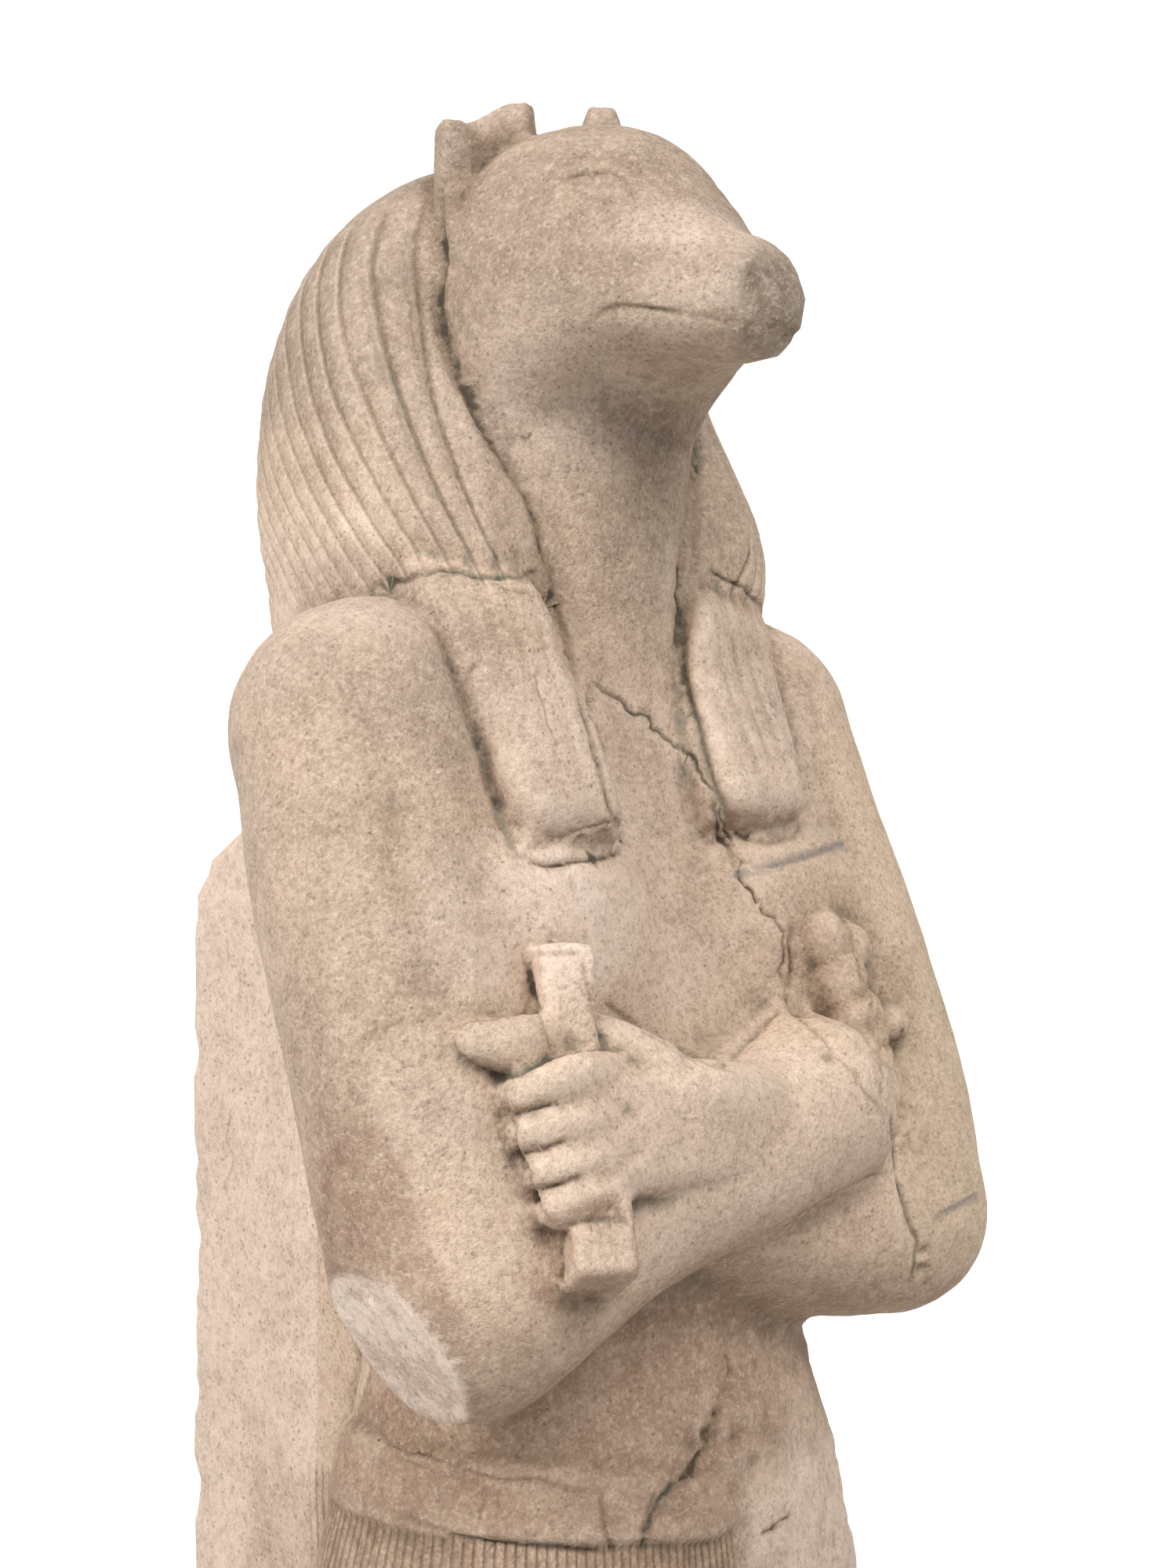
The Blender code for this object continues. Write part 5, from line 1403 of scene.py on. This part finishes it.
    # earth and painted shade in hollows and carved lines, nearly black where deepest
    soil_and_shade = k.math("MULTIPLY", dirt_and_shade, k.ramp(grain, 0.34, 0.62, 0.55, 1.15), True)
    ground = k.mix(k.times(soil_and_shade, 0.74), ground, EARTH_AND_SHADE)
    ground = k.mix(k.ramp(k.times(dirt_and_shade, k.ramp(mottle, 0.40, 0.60, 0.65, 1.15)), 0.68, 1.05, 0.0, 0.80), ground, SOOT_AND_SHADE)
    moss = k.times(k.ramp(dirt_and_shade, 0.18, 0.7), k.ramp(k.noise(where, 17.0, 3.0), 0.50, 0.64))
    ground = k.mix(k.times(moss, 0.45), ground, MOSS)

    # old patina dulls all of it; the second multiply also deepens the painted shade carried with the brown
    ground = k.mix(k.times(grey, 0.27), ground, (0.62, 0.60, 0.59), "MULTIPLY")
    ground = k.mix(k.times(stain_and_shade, 0.20), ground, (0.66, 0.60, 0.54), "MULTIPLY")

    # pencil catches on the grain
    ground = k.mix(k.times(k.attribute("mark"), k.ramp(grain, 0.38, 0.60, 1.0, 0.35)), ground, (0.17, 0.17, 0.18))

    # rare reddish marks
    rust = k.ramp(k.noise(where, 31.0, 4.0, 0.6, 1.0), 0.68, 0.78, 0.0, 0.35)
    ground = k.mix(rust, ground, RUST)
    k.link(ground, shader.inputs["Base Color"])
    k.link(k.ramp(mottle, 0.3, 0.7, 0.84, 0.98), shader.inputs["Roughness"])
    shader.inputs["Specular IOR Level"].default_value = 0.18

    # grain, pleats and strands stand in relief; heights are in millimetres
    height = k.total(
        k.times(mottle, 1.0),
        k.times(grain, 1.05),
        k.times(grit, 0.62),
        k.times(sand, 0.12),
        k.times(line, soft, -0.75),
        k.times(k.ramp(k.math("ABSOLUTE", seam), 0.0, 0.5, 0.0, 0.8), wig, soft),
    )
    height = k.times(height, k.ramp(yellow, 0.0, 1.0, 1.0, 0.60), k.ramp(pale, 0.0, 1.0, 1.0, 0.80))
    height = k.total(height, k.times(k.ramp(fold, 0.28, 0.5, 1.0, 0.0), kilt, 1.0))
    bump = k.add("ShaderNodeBump")
    bump.inputs["Strength"].default_value = 1.0
    bump.inputs["Distance"].default_value = 0.0010
    k.link(height, bump.inputs["Height"])
    k.link(bump.outputs[0], shader.inputs["Normal"])
    return stone


# ---------------------------------------------------------------- building it
def belted(mesh):
    """The belt and the chipped elbow are carved; the pillar behind stays as it is."""
    before = coordinates(mesh)
    after = coordinates(carve(mesh))
    behind = in_units(before)[:, 1] > 0.40
    after[behind] = before[behind]
    place(mesh, after)
    return mesh


def build_stone():
    body = fused("body", body_forms() + leg_forms(), BODY_VOXEL, BODY_SMOOTH)
    base = block("base", (-BASE_W / 2 / U, BASE_FRONT, SOLE - BASE_H / U), (BASE_W / 2 / U, BASE_FRONT + BASE_L / U, SOLE), 0.03)
    wig_forms = [loft("wig", wig_rings())]
    lappets = [loft("lappet", lappet_rings(side)) for side in (-1, 1)]
    face_forms = [m for m in body_forms() if m.name.startswith(("neck", "skull"))]
    wig_trees = [search(m) for m in wig_forms]
    lappet_trees = [search(m) for m in lappets]
    face_trees = [search(m) for m in face_forms]
    skin = fused("stone", [body] + carving_forms() + [pillar_mesh(), base], CARVING_VOXEL, CARVING_SMOOTH)
    skin = belted(skin)
    skin = coarse_relief(skin, wig_trees, face_trees, lappet_trees)
    co = coordinates(skin)
    n = normals(skin)
    p = in_units(co)
    facing = step(seen_normal(n), -0.35, 0.15)
    upper = step(p[:, 2], -2.1, -1.8)
    plain = 1 - 0.80 * facing * upper - 0.10 * upper
    skin = thinned(skin, TRIANGLES, plain)
    tree = search(skin)
    lines, spots = traced(tree)
    skin = refined(skin, lines, spots, (0.0034, 0.0018), 2)
    dark, pale = fine_relief(skin, lines, spots)

    def wig_mask(co, p):
        high = p[:, 2] > 0.2
        wig = gap(wig_trees, co, high, 0.010)
        face = gap(face_trees, co, high & (p[:, 1] < 0.15), 0.010)
        mask = step(face - wig, 0.0005, 0.004) * step(wig, 0.009, 0.006)
        s = strand(p)
        return mask * step(p[:, 2], 1.36, 1.20) * step(p[:, 2], 0.36, 0.50) * step(s, 0.35, 0.8)

    tints.wig_mask = wig_mask
    tints(skin, dark, pale)
    return skin


skin = build_stone()
for face in skin.polygons:
    face.use_smooth = True
figure = bpy.data.objects.new("figure_stone", skin)
bpy.context.scene.collection.objects.link(figure)
figure.data.materials.clear()
figure.data.materials.append(limestone())
print("triangles", sum(len(f.vertices) - 2 for f in skin.polygons))
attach(figure, "root")
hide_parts("anubis_figure")

# ---------------------------------------------------------------- floor, light and camera
def facing_away():
    return Vector((math.sin(TURN), math.cos(TURN), 0))


def floor_and_wall():
    """A pale floor that turns up into a pale wall far behind the figure, as a paper roll does."""
    mesh = bpy.data.meshes.new("studio_floor")
    bm = bmesh.new()
    rim = 9.0
    rings = []
    turns = 120
    for k in range(turns):
        a = 2 * math.pi * k / turns
        rings.append(Vector((math.cos(a), math.sin(a), 0)))
    middle = bm.verts.new((0, 0, 0))
    inner = [bm.verts.new(r * 3.0) for r in rings]
    outer = [bm.verts.new(r * (rim - 1.0)) for r in rings]
    for k in range(turns):
        m = (k + 1) % turns
        bm.faces.new((middle, inner[k], inner[m]))
        bm.faces.new((inner[k], outer[k], outer[m], inner[m]))
    # the wall stands only behind the figure as the camera sees it
    behind = [k for k in range(turns) if rings[k].dot(facing_away()) > math.cos(math.radians(38))]
    start = next(k for k in behind if (k - 1) % turns not in behind)
    order = [(start + i) % turns for i in range(len(behind))]
    below = [outer[k] for k in order]
    for j in range(1, 13):
        a = math.pi / 2 * j / 12
        out, up = rim - 1.0 + math.sin(a), 1.0 - math.cos(a)
        above = [bm.verts.new(rings[k] * out + Vector((0, 0, up))) for k in order]
        for i in range(len(order) - 1):
            bm.faces.new((below[i], above[i], above[i + 1], below[i + 1]))
        below = above
    above = [bm.verts.new(rings[k] * rim + Vector((0, 0, 7.0))) for k in order]
    for i in range(len(order) - 1):
        bm.faces.new((below[i], above[i], above[i + 1], below[i + 1]))
    bmesh.ops.recalc_face_normals(bm, faces=bm.faces)
    bm.to_mesh(mesh)
    bm.free()
    for face in mesh.polygons:
        face.use_smooth = True
    obj = bpy.data.objects.new("studio_floor", mesh)
    bpy.context.scene.collection.objects.link(obj)
    paint = bpy.data.materials.new("pale_floor")
    paint.use_nodes = True
    k = Nodes(paint.node_tree)
    out = k.add("ShaderNodeOutputMaterial")
    shader = k.add("ShaderNodeBsdfPrincipled")
    k.link(shader.outputs[0], out.inputs[0])
    shader.inputs["Base Color"].default_value = (0.64, 0.64, 0.64, 1)
    shader.inputs["Roughness"].default_value = 0.9
    # the far end is lit until it is white
    where = k.add("ShaderNodeSeparateXYZ")
    k.link(k.add("ShaderNodeTexCoord").outputs["Object"], where.inputs[0])
    away = k.math("ADD", k.math("MULTIPLY", where.outputs[0], math.sin(TURN)), k.math("MULTIPLY", where.outputs[1], math.cos(TURN)))
    glow = k.ramp(away, 1.2, 2.3, 0.0, 0.85)
    shader.inputs["Emission Color"].default_value = (1, 1, 1, 1)
    k.link(glow, shader.inputs["Emission Strength"])
    mesh.materials.append(paint)


def softbox(name, right, back, up, watts, size, tint=(1, 1, 1)):
    """A square light given by its place to the camera's right, behind the figure and above the chest, in metres."""
    lamp = bpy.data.lights.new(name, "AREA")
    lamp.energy = watts
    lamp.size = size
    lamp.color = tint
    obj = bpy.data.objects.new(name, lamp)
    s, c = math.sin(TURN), math.cos(TURN)
    aim = at(0, -0.1, 0.1)
    obj.location = aim + Vector((c, -s, 0)) * right + Vector((s, c, 0)) * back + Vector((0, 0, up))
    obj.rotation_euler = (aim - obj.location).to_track_quat("-Z", "Y").to_euler()
    bpy.context.scene.collection.objects.link(obj)


def sky():
    """Soft light from all round, stronger from above than from below."""
    world = bpy.data.worlds.new("studio")
    bpy.context.scene.world = world
    world.use_nodes = True
    k = Nodes(world.node_tree)
    out = k.add("ShaderNodeOutputWorld")
    light = k.add("ShaderNodeBackground")
    k.link(light.outputs[0], out.inputs[0])
    way = k.add("ShaderNodeSeparateXYZ")
    k.link(k.add("ShaderNodeTexCoord").outputs["Generated"], way.inputs[0])
    k.link(k.ramp(way.outputs[2], -0.3, 1.0, SKY_LOW, SKY_HIGH), light.inputs["Strength"])
    light.inputs["Color"].default_value = (1, 1, 1, 1)


SKY_LOW, SKY_HIGH = 0.29, 0.40
floor_and_wall()
softbox("key", -2.2, -1.8, 1.60, 90, 1.3, (1.0, 0.99, 0.97))
softbox("fill", 1.4, -1.9, 2.3, 75, 1.5, (1.0, 0.99, 0.97))
sky()
bpy.context.scene.view_settings.view_transform = "Standard"

lens = bpy.data.cameras.new("camera")
lens.lens = 50.0
lens.sensor_width = 36.0
lens.shift_x = 0.0125
lens.shift_y = 0.0065
camera = bpy.data.objects.new("camera", lens)
camera.location = at(0, 0, 0) - facing_away() * REACH * U
camera.rotation_euler = facing_away().to_track_quat("-Z", "Y").to_euler()
bpy.context.scene.collection.objects.link(camera)
bpy.context.scene.camera = camera
